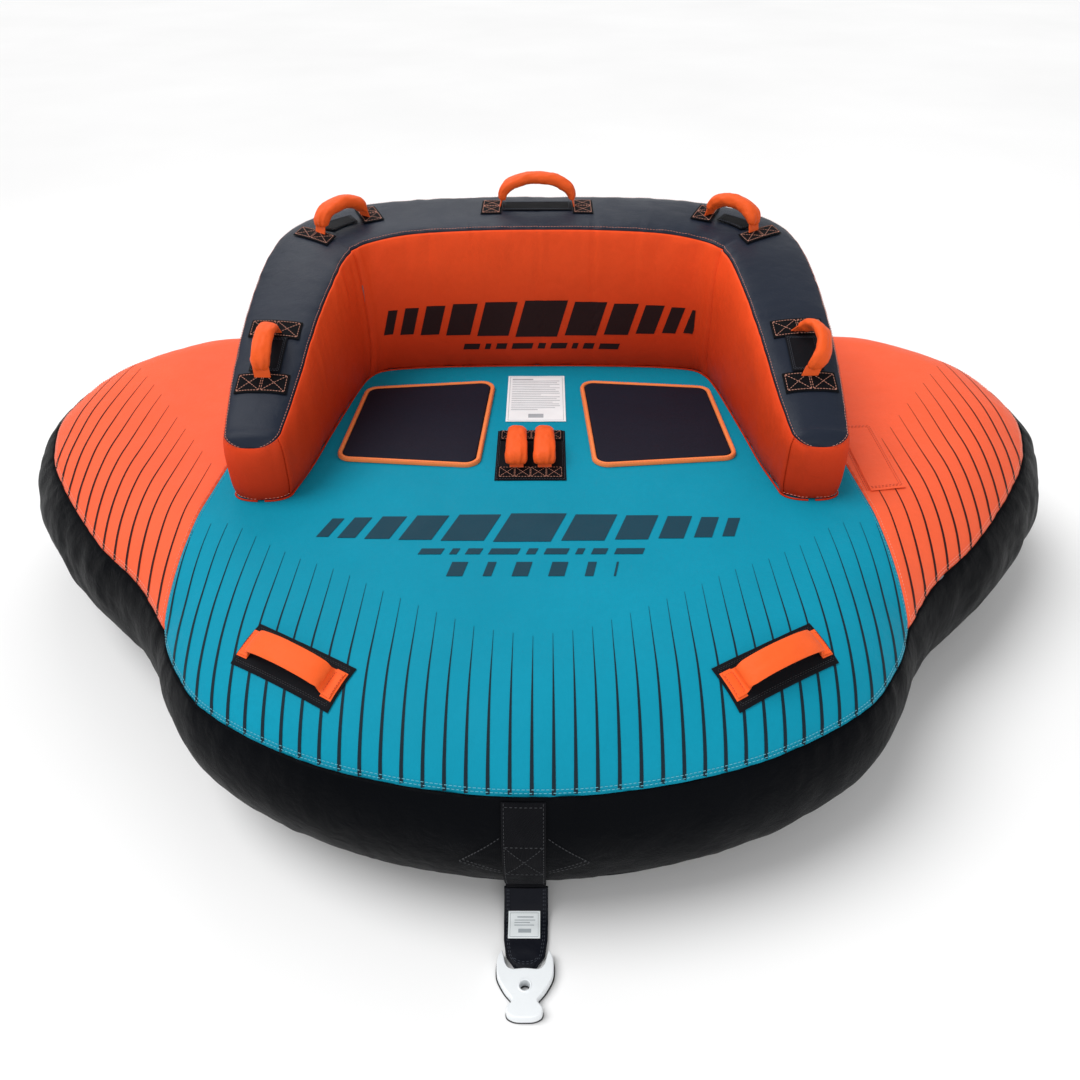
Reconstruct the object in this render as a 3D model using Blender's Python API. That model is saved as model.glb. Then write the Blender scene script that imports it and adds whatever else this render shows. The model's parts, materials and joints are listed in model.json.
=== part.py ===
"""Deck-style towable tube for two riders, drawn in metres with +Z up.

The origin is on the ground at the middle of the flat bottom. -Y is the towing
end, which the riders face, and +X is to their left. An inner air
bladder carries the hull and a second one carries the U-shaped backrest. Sewn
fabric covers wrap both, and the grips, straps and pads are sewn on the covers.
"""

import math

import bmesh
import bpy
import numpy as np
from mathutils import Matrix, Vector

# ---------------------------------------------------------------- dimensions
EDGE_RADIUS = 0.220        # radius of the hull's round edge, seen in section
EDGE_HEIGHT = 0.220        # height of the hull's widest line above ground
DECK_HEIGHT = 0.420        # height of the deck
COVER = 0.0020             # thickness of the fabric covers
COVER_GAP = 0.0028         # air between a cover and its bladder
SEAM_INSET = 0.0013        # half the gap between two panels at a seam
WALL_BULGE = 0.014         # how far the backrest's inner walls bow out
OUTER_BULGE = 0.007        # and its outer walls
WEBBING = 0.050            # width of handle webbing
WEBBING_T = 0.0022
PATCH_T = 0.0016           # knuckle guard thickness
LAYER_GAP = 0.0004         # gap between two sewn layers
TOW_WEB = 0.070            # width of the tow webbing
TOW_WEB_T = 0.0040
STRAP_T = 0.0100           # padded tow strap tail
HULL_EDGE_STEPS = (11, 18)  # outline steps along the bow and along each wing
REST_STEPS = 21            # steps along each half of the backrest

# Half outline of the hull's widest line, from the bow to the notch between the
# deck and the wing, then round the wing to the middle of the stern.
BOW = [(0.0, -0.837), (0.20, -0.815), (0.40, -0.754), (0.585, -0.645), (0.68, -0.530), (0.730, -0.435)]
WING = [(0.730, -0.435), (0.82, -0.320), (0.955, -0.195), (1.11, -0.020), (1.205, 0.130), (1.254, 0.320),
        (1.205, 0.560), (1.05, 0.735), (0.87, 0.815), (0.50, 0.852), (0.0, 0.860)]
# Height of the top seam along the same outline, as an angle above the edge's widest line.
SEAM_ANGLE = [(0.0, 32.0), (0.36, 30.0), (0.46, 36.0), (0.58, 48.0), (0.68, 58.0), (1.0, 56.0)]
BOTTOM_SEAM_ANGLE = -34.0

# Backrest stations from the front of an arm to the middle of the back wall:
# inner foot x, y, outer foot x, y, and height of the seam round the top panel.
REST = [(0.512, -0.100, 0.626, -0.100, 0.562), (0.492, 0.010, 0.631, 0.015, 0.616),
        (0.478, 0.130, 0.634, 0.150, 0.668), (0.462, 0.255, 0.634, 0.300, 0.710),
        (0.447, 0.360, 0.628, 0.445, 0.738), (0.430, 0.425, 0.602, 0.585, 0.748),
        (0.395, 0.462, 0.510, 0.695, 0.753), (0.300, 0.480, 0.360, 0.727, 0.766),
        (0.150, 0.488, 0.170, 0.734, 0.772), (0.0, 0.490, 0.0, 0.736, 0.773)]
REST_FRONT_Y = -0.128      # front face of the arms

# Seat pad corners on the left side (front outer, rear outer, rear inner, front inner).
PAD = [(0.445, 0.024), (0.426, 0.358), (0.104, 0.392), (0.124, -0.008)]
PAD_ROUND = 0.034
PIPING = 0.011
PAD_T = 0.008
PIPING_T = 0.009

# Grips on the backrest: name, station of each end on the REST table, lean in degrees.
GRIP_LENGTH_REAR = 0.172
GRIP_WIDTH = 0.046
GRIP_THICK = 0.026
VALVE_SPOT = (0.738, 0.030)  # hull valve, on the left-hand wing
REST_VALVE = (0.300, 0.610)  # x and z of the backrest valve on the back wall

for old in list(bpy.data.objects):
    bpy.data.objects.remove(old, do_unlink=True)


# ------------------------------------------------------------------ helpers
def material(name, color, rough, metal=0.0):
    mat = bpy.data.materials.new(name)
    mat.use_nodes = True
    shader = mat.node_tree.nodes["Principled BSDF"]
    shader.inputs["Base Color"].default_value = (*color, 1.0)
    shader.inputs["Roughness"].default_value = rough
    shader.inputs["Metallic"].default_value = metal
    mat.diffuse_color = (*color, 1.0)
    return mat


TEAL = (0.010, 0.270, 0.400)
ORANGE = (0.870, 0.105, 0.030)
PALE_ORANGE = (0.900, 0.150, 0.065)
CHARCOAL = (0.030, 0.042, 0.060)
BLACK = (0.012, 0.013, 0.017)
PIPE = (0.900, 0.280, 0.110)
WHITE = (0.800, 0.820, 0.830)
PVC = (0.180, 0.190, 0.210)


def put(name, mesh, color, rough=0.6, metal=0.0, origin=None, smooth=True):
    """An object from a mesh drawn in world coordinates, with its origin moved to a joint's axis."""
    if origin is not None:
        mesh.transform(Matrix.Translation(-Vector(origin)))
    if smooth:
        mesh.shade_smooth()
        mesh.set_sharp_from_angle(angle=math.radians(40))
    obj = bpy.data.objects.new(name, mesh)
    if origin is not None:
        obj.location = origin
    mesh.materials.append(material(name + "_mat", color, rough, metal))
    bpy.context.scene.collection.objects.link(obj)
    return obj


def mesh_of(name, verts, faces):
    mesh = bpy.data.meshes.new(name)
    mesh.from_pydata([tuple(map(float, v)) for v in verts], [], faces)
    mesh.update()
    return mesh


def bm_mesh(name, bm):
    mesh = bpy.data.meshes.new(name)
    bm.to_mesh(mesh)
    bm.free()
    return mesh


def smooth_curve(points, steps):
    """Catmull-Rom curve through the points, sampled evenly along its length."""
    pts = np.array(points, float)
    ext = np.vstack([2 * pts[0] - pts[1], pts, 2 * pts[-1] - pts[-2]])
    dense = []
    for k in range(len(pts) - 1):
        p0, p1, p2, p3 = ext[k:k + 4]
        for t in np.linspace(0, 1, 24, endpoint=False):
            dense.append(0.5 * (2 * p1 + (p2 - p0) * t + (2 * p0 - 5 * p1 + 4 * p2 - p3) * t ** 2
                                + (3 * p1 - p0 - 3 * p2 + p3) * t ** 3))
    dense.append(pts[-1])
    dense = np.array(dense)
    run = np.r_[0, np.cumsum(np.linalg.norm(np.diff(dense[:, :2], axis=0), axis=1))]
    want = np.linspace(0, run[-1], steps + 1)
    return np.stack([np.interp(want, run, dense[:, c]) for c in range(dense.shape[1])], axis=1)


# -------------------------------------------------------------- hull surface
def hull_outline():
    """Points round the whole hull, their outward normals and their place 0..1 from bow to stern."""
    bow = smooth_curve([(-BOW[1][0], BOW[1][1])] + BOW, 400)
    bow = bow[bow[:, 0] >= -1e-9]
    wing = smooth_curve(WING + [(-WING[-2][0], WING[-2][1])], 400)
    wing = wing[wing[:, 0] >= -1e-9]

    def even(curve, steps):
        run = np.r_[0, np.cumsum(np.linalg.norm(np.diff(curve, axis=0), axis=1))]
        want = np.linspace(0, run[-1], steps + 1)
        return np.stack([np.interp(want, run, curve[:, c]) for c in range(2)], axis=1)

    bow, wing = even(bow, HULL_EDGE_STEPS[0]), even(wing, HULL_EDGE_STEPS[1])
    bow[0, 0] = wing[-1, 0] = 0.0
    half = np.vstack([bow, wing[1:]])
    place = np.linspace(0, 1, len(half))
    whole = np.vstack([half, half[-2:0:-1] * (-1, 1)])
    place = np.r_[place, place[-2:0:-1]]
    ahead, behind = np.roll(whole, -1, 0), np.roll(whole, 1, 0)
    tangent = ahead - behind
    normal = np.stack([tangent[:, 1], -tangent[:, 0]], axis=1)
    normal /= np.linalg.norm(normal, axis=1)[:, None]
    return whole, normal, place


OUTLINE, OUT_NORMAL, OUT_PLACE = hull_outline()
NOTCH = HULL_EDGE_STEPS[0]
AROUND = len(OUTLINE)


def edge_section(angle):
    """Inward distance and height of the edge's round section at an angle from its widest line."""
    a = math.radians(angle)
    upper = DECK_HEIGHT - EDGE_HEIGHT
    return EDGE_RADIUS * (1 - math.cos(a)), EDGE_HEIGHT + math.sin(a) * (upper if a > 0 else EDGE_HEIGHT)


def seam_angle(place):
    return float(np.interp(place, [p for p, _ in SEAM_ANGLE], [a for _, a in SEAM_ANGLE]))


def radial_width(i):
    """Run of the round edge along the line from the hull's centre, for one outline point."""
    p = OUTLINE[i]
    cosine = float(np.dot(p / np.linalg.norm(p), OUT_NORMAL[i]))
    return 1.0 / max(cosine, 0.62)


def ring(i, kind, value):
    p = OUTLINE[i]
    reach = np.linalg.norm(p)
    unit = p / reach
    k = radial_width(i)
    if kind == "angle":
        inset, z = edge_section(value)
        q = unit * (reach - inset * k)
    else:
        q = unit * (reach - EDGE_RADIUS * k) * value
        z = 0.0 if kind == "bottom" else DECK_HEIGHT
    return (q[0], q[1], z)


def hull_rings(i):
    seam = seam_angle(OUT_PLACE[i])
    rows = [("bottom", 0.5), ("angle", -90.0), ("angle", -62.0), ("angle", BOTTOM_SEAM_ANGLE), ("angle", -12.0),
            ("angle", 10.0), ("angle", seam), ("angle", seam + (90 - seam) * 0.33), ("angle", seam + (90 - seam) * 0.66),
            ("angle", 90.0), ("top", 0.55)]
    return [ring(i, kind, value) for kind, value in rows]


RINGS = 11
BOTTOM_SEAM_RING, TOP_SEAM_RING = 3, 6


def hull_mesh():
    """(verts, faces, ring number of each face) of the hull's whole closed outer surface."""
    verts = [p for i in range(AROUND) for p in hull_rings(i)]
    low, high = len(verts), len(verts) + 1
    verts += [(0.0, 0.0, 0.0), (0.0, 0.0, DECK_HEIGHT)]
    faces, rows = [], []
    for i in range(AROUND):
        j = (i + 1) % AROUND
        faces.append((low, j * RINGS, i * RINGS))
        rows.append(-1)
        for k in range(RINGS - 1):
            faces.append((i * RINGS + k, j * RINGS + k, j * RINGS + k + 1, i * RINGS + k + 1))
            rows.append(k)
        faces.append((high, i * RINGS + RINGS - 1, j * RINGS + RINGS - 1))
        rows.append(RINGS - 1)
    return verts, faces, rows


def inside_outline(x, y):
    """Distance from the hull's widest line to a point inside it, measured along the line from the centre."""
    rho = math.hypot(x, y)
    if rho < 1e-9:
        return 1.0, 1.0
    best = None
    for i in range(AROUND):
        a, b = OUTLINE[i], OUTLINE[(i + 1) % AROUND]
        det = -x * (b[1] - a[1]) + y * (b[0] - a[0])
        if abs(det) < 1e-12:
            continue
        t = (-a[0] * (b[1] - a[1]) + a[1] * (b[0] - a[0])) / det
        s = (x * a[1] - y * a[0]) / det
        if t > 0 and -1e-9 <= s <= 1 + 1e-9:
            k = radial_width(i) * (1 - s) + radial_width((i + 1) % AROUND) * s
            best = ((t - 1) * rho, k)
            break
    return best


def deck_z(x, y):
    """Height of the hull's upper surface above a point."""
    inset, k = inside_outline(x, y)
    inset = inset / k
    if inset >= EDGE_RADIUS:
        return DECK_HEIGHT
    c = 1 - max(inset, 0.0) / EDGE_RADIUS
    return EDGE_HEIGHT + (DECK_HEIGHT - EDGE_HEIGHT) * math.sqrt(max(0.0, 1 - c * c))


def deck_normal(x, y, step=0.004):
    dx = (deck_z(x + step, y) - deck_z(x - step, y)) / (2 * step)
    dy = (deck_z(x, y + step) - deck_z(x, y - step)) / (2 * step)
    return Vector((-dx, -dy, 1)).normalized()


# ------------------------------------------------------- panels and bladders
def pull_in_border(bm, amount):
    """Moves the border of an open surface into the surface, so that neighbouring panels keep a seam gap."""
    bm.normal_update()
    shift = {}
    for edge in bm.edges:
        if len(edge.link_faces) != 1:
            continue
        face = edge.link_faces[0]
        a, b = edge.verts
        along = (b.co - a.co).normalized()
        inward = face.normal.cross(along)
        if inward.dot(face.calc_center_median() - a.co) < 0:
            inward.negate()
        for v in (a, b):
            shift.setdefault(v, []).append(inward)
    for v, ways in shift.items():
        total = sum(ways, Vector())
        if total.length > 1e-6:
            way = total.normalized()
            share = max(0.5, way.dot(ways[0]))
            v.co += way * (amount / share)


def shell(name, bm, color, rough=0.55, thickness=COVER):
    """An open surface made a closed fabric panel: its outer side stays put and it thickens inwards."""
    loose = [v for v in bm.verts if not v.link_faces]
    bmesh.ops.delete(bm, geom=loose, context="VERTS")
    pull_in_border(bm, SEAM_INSET)
    obj = put(name, bm_mesh(name, bm), color, rough)
    solid = obj.modifiers.new("thickness", "SOLIDIFY")
    solid.thickness = thickness
    solid.offset = -1.0
    solid.use_even_offset = True
    solid.use_rim = True
    return obj


def surface_bm(verts, faces):
    bm = bmesh.new()
    vs = [bm.verts.new(v) for v in verts]
    made = [bm.faces.new([vs[k] for k in f]) for f in faces]
    bm.normal_update()
    return bm, made


def inner_solid(name, verts, faces, depth, color):
    """The bladder: the closed outer surface moved inwards by the cover and its gap."""
    bm, _ = surface_bm(verts, faces)
    bmesh.ops.recalc_face_normals(bm, faces=bm.faces)
    bm.normal_update()
    moved = {v: v.co - v.normal * depth * v.calc_shell_factor() for v in bm.verts}
    for v, co in moved.items():
        v.co = co
    return put(name, bm_mesh(name, bm), color, 0.4)


HV, HF, HROW = hull_mesh()


def hull_panel(keep):
    bm, made = surface_bm(HV, HF)
    drop = [f for f, row in zip(made, HROW) if not keep(row)]
    bmesh.ops.delete(bm, geom=drop, context="FACES")
    return bm


bottom = shell("bottom_cover", hull_panel(lambda r: r < BOTTOM_SEAM_RING), BLACK, 0.6)
band = shell("side_band", hull_panel(lambda r: BOTTOM_SEAM_RING <= r < TOP_SEAM_RING), BLACK, 0.45)

# The seam between the deck and each wing runs back from the notch.
notch_point = ring(NOTCH, "angle", seam_angle(OUT_PLACE[NOTCH]))
SEAM_FOOT = Vector((notch_point[0], notch_point[1], 0))
SEAM_HEAD = Vector((0.676, 0.0, 0))
seam_line = SEAM_HEAD - SEAM_FOOT
WING_SIDE = Vector((seam_line.y, -seam_line.x, 0)).normalized()
if WING_SIDE.x < 0:
    WING_SIDE.negate()


def top_panel(side):
    """The deck (side 0) or one wing (side 1 or -1) of the hull's upper surface."""
    bm = hull_panel(lambda r: r >= TOP_SEAM_RING)
    for s in (1, -1):
        bmesh.ops.bisect_plane(bm, geom=bm.verts[:] + bm.edges[:] + bm.faces[:], dist=1e-5,
                               plane_co=(SEAM_FOOT.x * s, SEAM_FOOT.y, 0), plane_no=(WING_SIDE.x * s, WING_SIDE.y, 0))
    drop = []
    for f in bm.faces:
        c = f.calc_center_median()
        where = 0
        for s in (1, -1):
            if (Vector((c.x * s, c.y, 0)) - SEAM_FOOT).dot(WING_SIDE) > 0:
                where = s
        if where != side:
            drop.append(f)
    bmesh.ops.delete(bm, geom=drop, context="FACES")
    return bm


deck = shell("deck_cover", top_panel(0), TEAL, 0.55)
wing_left = shell("wing_cover_left", top_panel(1), PALE_ORANGE, 0.55)
wing_right = shell("wing_cover_right", top_panel(-1), PALE_ORANGE, 0.55)
hull_bladder = inner_solid("hull_bladder", HV, HF, COVER + COVER_GAP, PVC)


# ----------------------------------------------------------------- backrest
REST_ROWS = 16
FOOT_CLEAR = 0.0030        # the backrest stands this far above the deck cover
WALL_ROWS = 13             # of these, the rows above the foot
REST_TOP = (3, 9)          # section rows between which the top cover lies


def rest_stations():
    """Stations along half of the backrest, from the front of an arm to the centre, each with a width and height share."""
    fine = smooth_curve(REST + [(-REST[-2][0], REST[-2][1], -REST[-2][2], REST[-2][3], REST[-2][4])], 600)
    fine = fine[(fine[:, 0] + fine[:, 2]) >= -1e-9]
    middle = (fine[:, :2] + fine[:, 2:4]) / 2
    run = np.r_[0, np.cumsum(np.linalg.norm(np.diff(middle, axis=0), axis=1))]
    want = np.linspace(0, run[-1], REST_STEPS + 1)
    body = np.stack([np.interp(want, run, fine[:, c]) for c in range(5)], axis=1)
    body[-1, 0] = body[-1, 2] = 0.0
    rows = []
    for y, width, drop in ((REST_FRONT_Y, 0.50, 0.016), (REST_FRONT_Y + 0.006, 0.78, 0.009), (REST_FRONT_Y + 0.016, 0.94, 0.003)):
        ix, iy, ox, oy, top = body[0]
        mid, half = (ix + ox) / 2, (ox - ix) / 2 * width
        rows.append((mid - half, y, mid + half, y, top - drop))
    return np.vstack([np.array(rows), body])


def crown_of(width):
    """Height of the top panel's crown over its seams."""
    return 0.008 + 0.035 * width


def rest_section(station):
    """Points of one section, from the inner foot over the crown to the outer foot and back along the deck."""
    ix, iy, ox, oy, edge = station
    inner, outer = Vector((ix, iy, 0)), Vector((ox, oy, 0))
    across = (outer - inner)
    width = across.length
    across.normalize()
    crown = crown_of(width)
    points = []

    def foot(p):
        return deck_z(p.x, p.y) + FOOT_CLEAR

    shape = [(-1, 0.0, 0), (-1, 0.33, 1), (-1, 0.72, 1), (-0.985, 1.0, 0.25), (-0.80, 1.0, 0), (-0.42, 1.0, 0), (0, 1.0, 0),
             (0.42, 1.0, 0), (0.80, 1.0, 0), (0.985, 1.0, 0.25), (1, 0.72, 1), (1, 0.33, 1), (1, 0.0, 0),
             (0.6, 0.0, 0), (0.1, 0.0, 0), (-0.5, 0.0, 0)]
    for u, rise, bow in shape:
        p = (inner + outer) / 2 + across * (width / 2 * u)
        low = foot(p)
        z = low + (edge - low) * rise
        if rise == 1.0:
            z = edge + crown * (math.sqrt(max(0.0, 1 - abs(u) ** 2.2)) if abs(u) < 0.98 else 0.0)
        side = -1 if u < 0 else 1
        p = p + across * (side * (WALL_BULGE if u < 0 else OUTER_BULGE) * bow * min(1.0, width / 0.1))
        points.append((p.x, p.y, z))
    return points


STATIONS = rest_stations()


def rest_mesh():
    half = [rest_section(s) for s in STATIONS]
    whole = half + [[(-x, y, z) for x, y, z in sec] for sec in half[-2::-1]]
    verts = [p for sec in whole for p in sec]
    faces, tags = [], []
    last = len(whole) - 1
    for s in range(last):
        for k in range(REST_ROWS):
            n = (k + 1) % REST_ROWS
            faces.append((s * REST_ROWS + k, s * REST_ROWS + n, (s + 1) * REST_ROWS + n, (s + 1) * REST_ROWS + k))
            tags.append("foot" if k >= WALL_ROWS - 1 else "inner" if k < REST_TOP[0] else "top" if k < REST_TOP[1] else "outer")
    for s, flip in ((0, True), (last, False)):
        first = s * REST_ROWS
        for k in range(WALL_ROWS // 2):
            a, b, c, d = first + k, first + k + 1, first + WALL_ROWS - 2 - k, first + WALL_ROWS - 1 - k
            quad = (a, b, c, d) if b != c else (a, b, d)
            faces.append(quad[::-1] if flip else quad)
            tags.append("top" if REST_TOP[0] <= k < REST_TOP[1] else "outer")
        under = tuple(range(first + WALL_ROWS - 1, first + REST_ROWS)) + (first,)
        faces.append(under if flip else under[::-1])
        tags.append("foot")
    return verts, faces, tags


RV, RF, RTAG = rest_mesh()


def rest_panel(tag):
    bm, made = surface_bm(RV, RF)
    bmesh.ops.recalc_face_normals(bm, faces=bm.faces)
    bmesh.ops.delete(bm, geom=[f for f, t in zip(made, RTAG) if t != tag], context="FACES")
    return bm


rest_inner = shell("backrest_inner_cover", rest_panel("inner"), ORANGE, 0.5)
rest_outer = shell("backrest_outer_cover", rest_panel("outer"), ORANGE, 0.5)
rest_top = shell("backrest_top_cover", rest_panel("top"), CHARCOAL, 0.45)
backrest_bladder = inner_solid("backrest_bladder", RV, RF, COVER + COVER_GAP, PVC)


# --------------------------------------------------------------- seat pads
def rounded_polygon(corners, radius, steps=4, inset=0.0):
    """Corner points (counter-clockwise or clockwise) rounded to a radius, moved inwards by an inset."""
    pts = [Vector((x, y, 0)) for x, y in corners]
    area = sum(a.x * b.y - b.x * a.y for a, b in zip(pts, pts[1:] + pts[:1]))
    turn = 1 if area > 0 else -1
    out = []
    n = len(pts)
    for i in range(n):
        before, here, after = pts[i - 1], pts[i], pts[(i + 1) % n]
        d1, d2 = (here - before).normalized(), (after - here).normalized()
        n1, n2 = Vector((-d1.y, d1.x, 0)) * turn, Vector((-d2.y, d2.x, 0)) * turn
        half = (n1 + n2).normalized()
        corner = here + half * (inset / half.dot(n1))
        r = max(radius - inset, 0.002)
        centre = corner + half * (r / half.dot(n1))
        for k in range(steps + 1):
            way = (n1 * (1 - k / steps) + n2 * (k / steps)).normalized()
            out.append(centre - way * r)
    return [(p.x, p.y) for p in out]


def slab(name, outline, z0, z1, color, rough=0.6, hole=None, origin=None, place=None, metal=0.0):
    """A flat plate with an outline, from z0 up to z1, with an optional matching inner outline cut through."""
    n = len(outline)
    verts = [(x, y, z) for z in (z0, z1) for x, y in outline]
    if hole is None:
        faces = [tuple(range(n))[::-1], tuple(range(n, 2 * n))]
    else:
        verts += [(x, y, z) for z in (z0, z1) for x, y in hole]
        faces = []
        for i in range(n):
            j = (i + 1) % n
            faces += [(j, i, 2 * n + i, 2 * n + j), (n + i, n + j, 3 * n + j, 3 * n + i),
                      (2 * n + j, 2 * n + i, 3 * n + i, 3 * n + j)]
    faces += [(i, (i + 1) % n, n + (i + 1) % n, n + i) for i in range(n)]
    bm, _ = surface_bm(verts, faces)
    bmesh.ops.recalc_face_normals(bm, faces=bm.faces)
    mesh = bm_mesh(name, bm)
    if place is not None:
        mesh.transform(place)
    return put(name, mesh, color, rough, metal, origin=origin)


SURFACE = DECK_HEIGHT + LAYER_GAP
for side, s in (("left", 1), ("right", -1)):
    corners = [(x * s, y) for x, y in PAD]
    outer = rounded_polygon(corners, PAD_ROUND)
    inner = rounded_polygon(corners, PAD_ROUND, inset=PIPING)
    pad = rounded_polygon(corners, PAD_ROUND, inset=PIPING + 0.0006)
    slab("seat_piping_" + side, outer, SURFACE, SURFACE + PIPING_T, PIPE, 0.6, hole=inner)
    slab("seat_pad_" + side, pad, SURFACE, SURFACE + PAD_T, BLACK, 0.8)

slab("deck_label", [(-0.0745, 0.194), (0.0675, 0.194), (0.0685, 0.426), (-0.0735, 0.426)], SURFACE, SURFACE + 0.0010, WHITE, 0.5)


# ------------------------------------------------- sewn straps and soft grips
def ribbon(points, across, normals, width, thickness, lift=0.0):
    """A closed flat band along points: across is its width direction and normals its thickness direction."""
    verts, faces = [], []
    for i, (p, a, n) in enumerate(zip(points, across, normals)):
        w = (width[i] if hasattr(width, "__len__") else width) / 2
        for u, h in ((-w, lift), (w, lift), (w, lift + thickness), (-w, lift + thickness)):
            verts.append(Vector(p) + Vector(a) * u + Vector(n) * h)
    last = len(points) - 1
    faces.append((0, 1, 2, 3))
    for i in range(last):
        for k in range(4):
            faces.append((i * 4 + k, (i + 1) * 4 + k, (i + 1) * 4 + (k + 1) % 4, i * 4 + (k + 1) % 4))
    faces.append((last * 4 + 3, last * 4 + 2, last * 4 + 1, last * 4))
    bm, _ = surface_bm(verts, faces)
    bmesh.ops.recalc_face_normals(bm, faces=bm.faces)
    return bm


def rest_at(station, u):
    """A point on the backrest's crown: station counts along REST, u runs from -1 inside to 1 outside."""
    k = min(int(station), len(REST) - 2)
    t = station - k
    rows = [REST[max(k - 1, 0)], REST[k], REST[k + 1],
            REST[k + 2] if k + 2 < len(REST) else (-REST[-2][0], REST[-2][1], -REST[-2][2], REST[-2][3], REST[-2][4])]
    p0, p1, p2, p3 = (np.array(r) for r in rows)
    ix, iy, ox, oy, top = 0.5 * (2 * p1 + (p2 - p0) * t + (2 * p0 - 5 * p1 + 4 * p2 - p3) * t ** 2
                                 + (3 * p1 - p0 - 3 * p2 + p3) * t ** 3)
    inner, outer = Vector((ix, iy, 0)), Vector((ox, oy, 0))
    width = (outer - inner).length
    crown = crown_of(width)
    p = (inner + outer) / 2 + (outer - inner) / 2 * u
    p.z = top + crown * math.sqrt(max(0.0, 1 - abs(u) ** 2.2))
    return p


def rest_frame(station):
    """Directions along, across and out of the backrest's crown at a station."""
    along = rest_at(station + 0.05, 0) - rest_at(station - 0.05, 0)
    across = rest_at(station, 0.3) - rest_at(station, -0.3)
    along.normalize()
    out = across.cross(along).normalized()
    if out.z < 0:
        out.negate()
    across = along.cross(out).normalized()
    if across.dot(rest_at(station, 0.3) - rest_at(station, -0.3)) < 0:
        across.negate()
    return along, across, out


def cross_band(name, station, length, width, lift, thickness, color, rough, s, shift=0.0):
    """Webbing sewn across the backrest's crown at a station."""
    along, across, out = rest_frame(station)
    centre = rest_at(station, 0)
    points, ways, normals = [], [], []
    half_width = (rest_at(station, 1) - rest_at(station, -1)).length / 2
    steps = 6
    for k in range(steps + 1):
        d = shift + length * (k / steps - 0.5)
        u = d / half_width
        p = rest_at(station, max(-0.95, min(0.95, u)))
        q = rest_at(station, max(-0.95, min(0.95, u + 0.04))) - rest_at(station, max(-0.95, min(0.95, u - 0.04)))
        n = q.cross(along).normalized()
        if n.z < 0:
            n.negate()
        points.append(p)
        ways.append(along)
        normals.append(n)
    flip = Matrix.Scale(-1 if s < 0 else 1, 4, (1, 0, 0))
    bm = ribbon(points, ways, normals, width, thickness, lift)
    bmesh.ops.transform(bm, matrix=flip, verts=bm.verts)
    bmesh.ops.recalc_face_normals(bm, faces=bm.faces)
    return put(name, bm_mesh(name, bm), color, rough)


def soft_grip(name, a, b, up, rise, width, thick, end_width, s=1, color=ORANGE):
    """A padded sleeve arching from a to b, with its origin between its ends, on the line it swings about."""
    a, b, up = Vector(a), Vector(b), Vector(up).normalized()
    chord = (b - a)
    reach = chord.length
    chord.normalize()
    up = (up - chord * up.dot(chord)).normalized()
    side = chord.cross(up).normalized()
    middle = (a + b) / 2
    rows, sides = 11, 10
    verts = []
    for i in range(rows + 1):
        t = i / rows
        angle = math.pi * t
        x = -math.cos(angle) * reach / 2
        y = rise * math.sin(angle) ** 0.85
        step = 1e-3
        a0, a1 = max(0.0, angle - step), min(math.pi, angle + step)
        tangent = (chord * ((math.cos(a0) - math.cos(a1)) * reach / 2) + up * (rise * (math.sin(a1) ** 0.85 - math.sin(a0) ** 0.85))).normalized()
        normal = side.cross(tangent).normalized()
        if normal.dot(up) < 0 and 0.1 < t < 0.9:
            normal.negate()
        if i in (0, rows):
            normal = (chord * (-1 if i == 0 else 1)).cross(side)
            normal = side.cross(up).normalized() * (1 if i == 0 else 1)
            normal = -chord if i == 0 else chord
        swell = min(1.0, math.sin(angle) * 1.9) ** 0.6
        w = end_width + (width - end_width) * swell
        h = 0.010 + (thick - 0.010) * swell
        centre = middle + chord * x + up * y
        for k in range(sides):
            c = 2 * math.pi * k / sides
            verts.append(centre + side * (w / 2 * math.copysign(abs(math.cos(c)) ** 0.8, math.cos(c))) + normal * (h / 2 * math.copysign(abs(math.sin(c)) ** 0.9, math.sin(c))))
    faces = [tuple(range(sides))[::-1], tuple(range(rows * sides, (rows + 1) * sides))]
    for i in range(rows):
        for k in range(sides):
            n = (k + 1) % sides
            faces.append((i * sides + k, i * sides + n, (i + 1) * sides + n, (i + 1) * sides + k))
    flip = Matrix.Scale(-1 if s < 0 else 1, 4, (1, 0, 0))
    bm, _ = surface_bm([flip @ v for v in verts], faces)
    bmesh.ops.recalc_face_normals(bm, faces=bm.faces)
    return put(name, bm_mesh(name, bm), color, 0.6, origin=flip @ middle)


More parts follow.
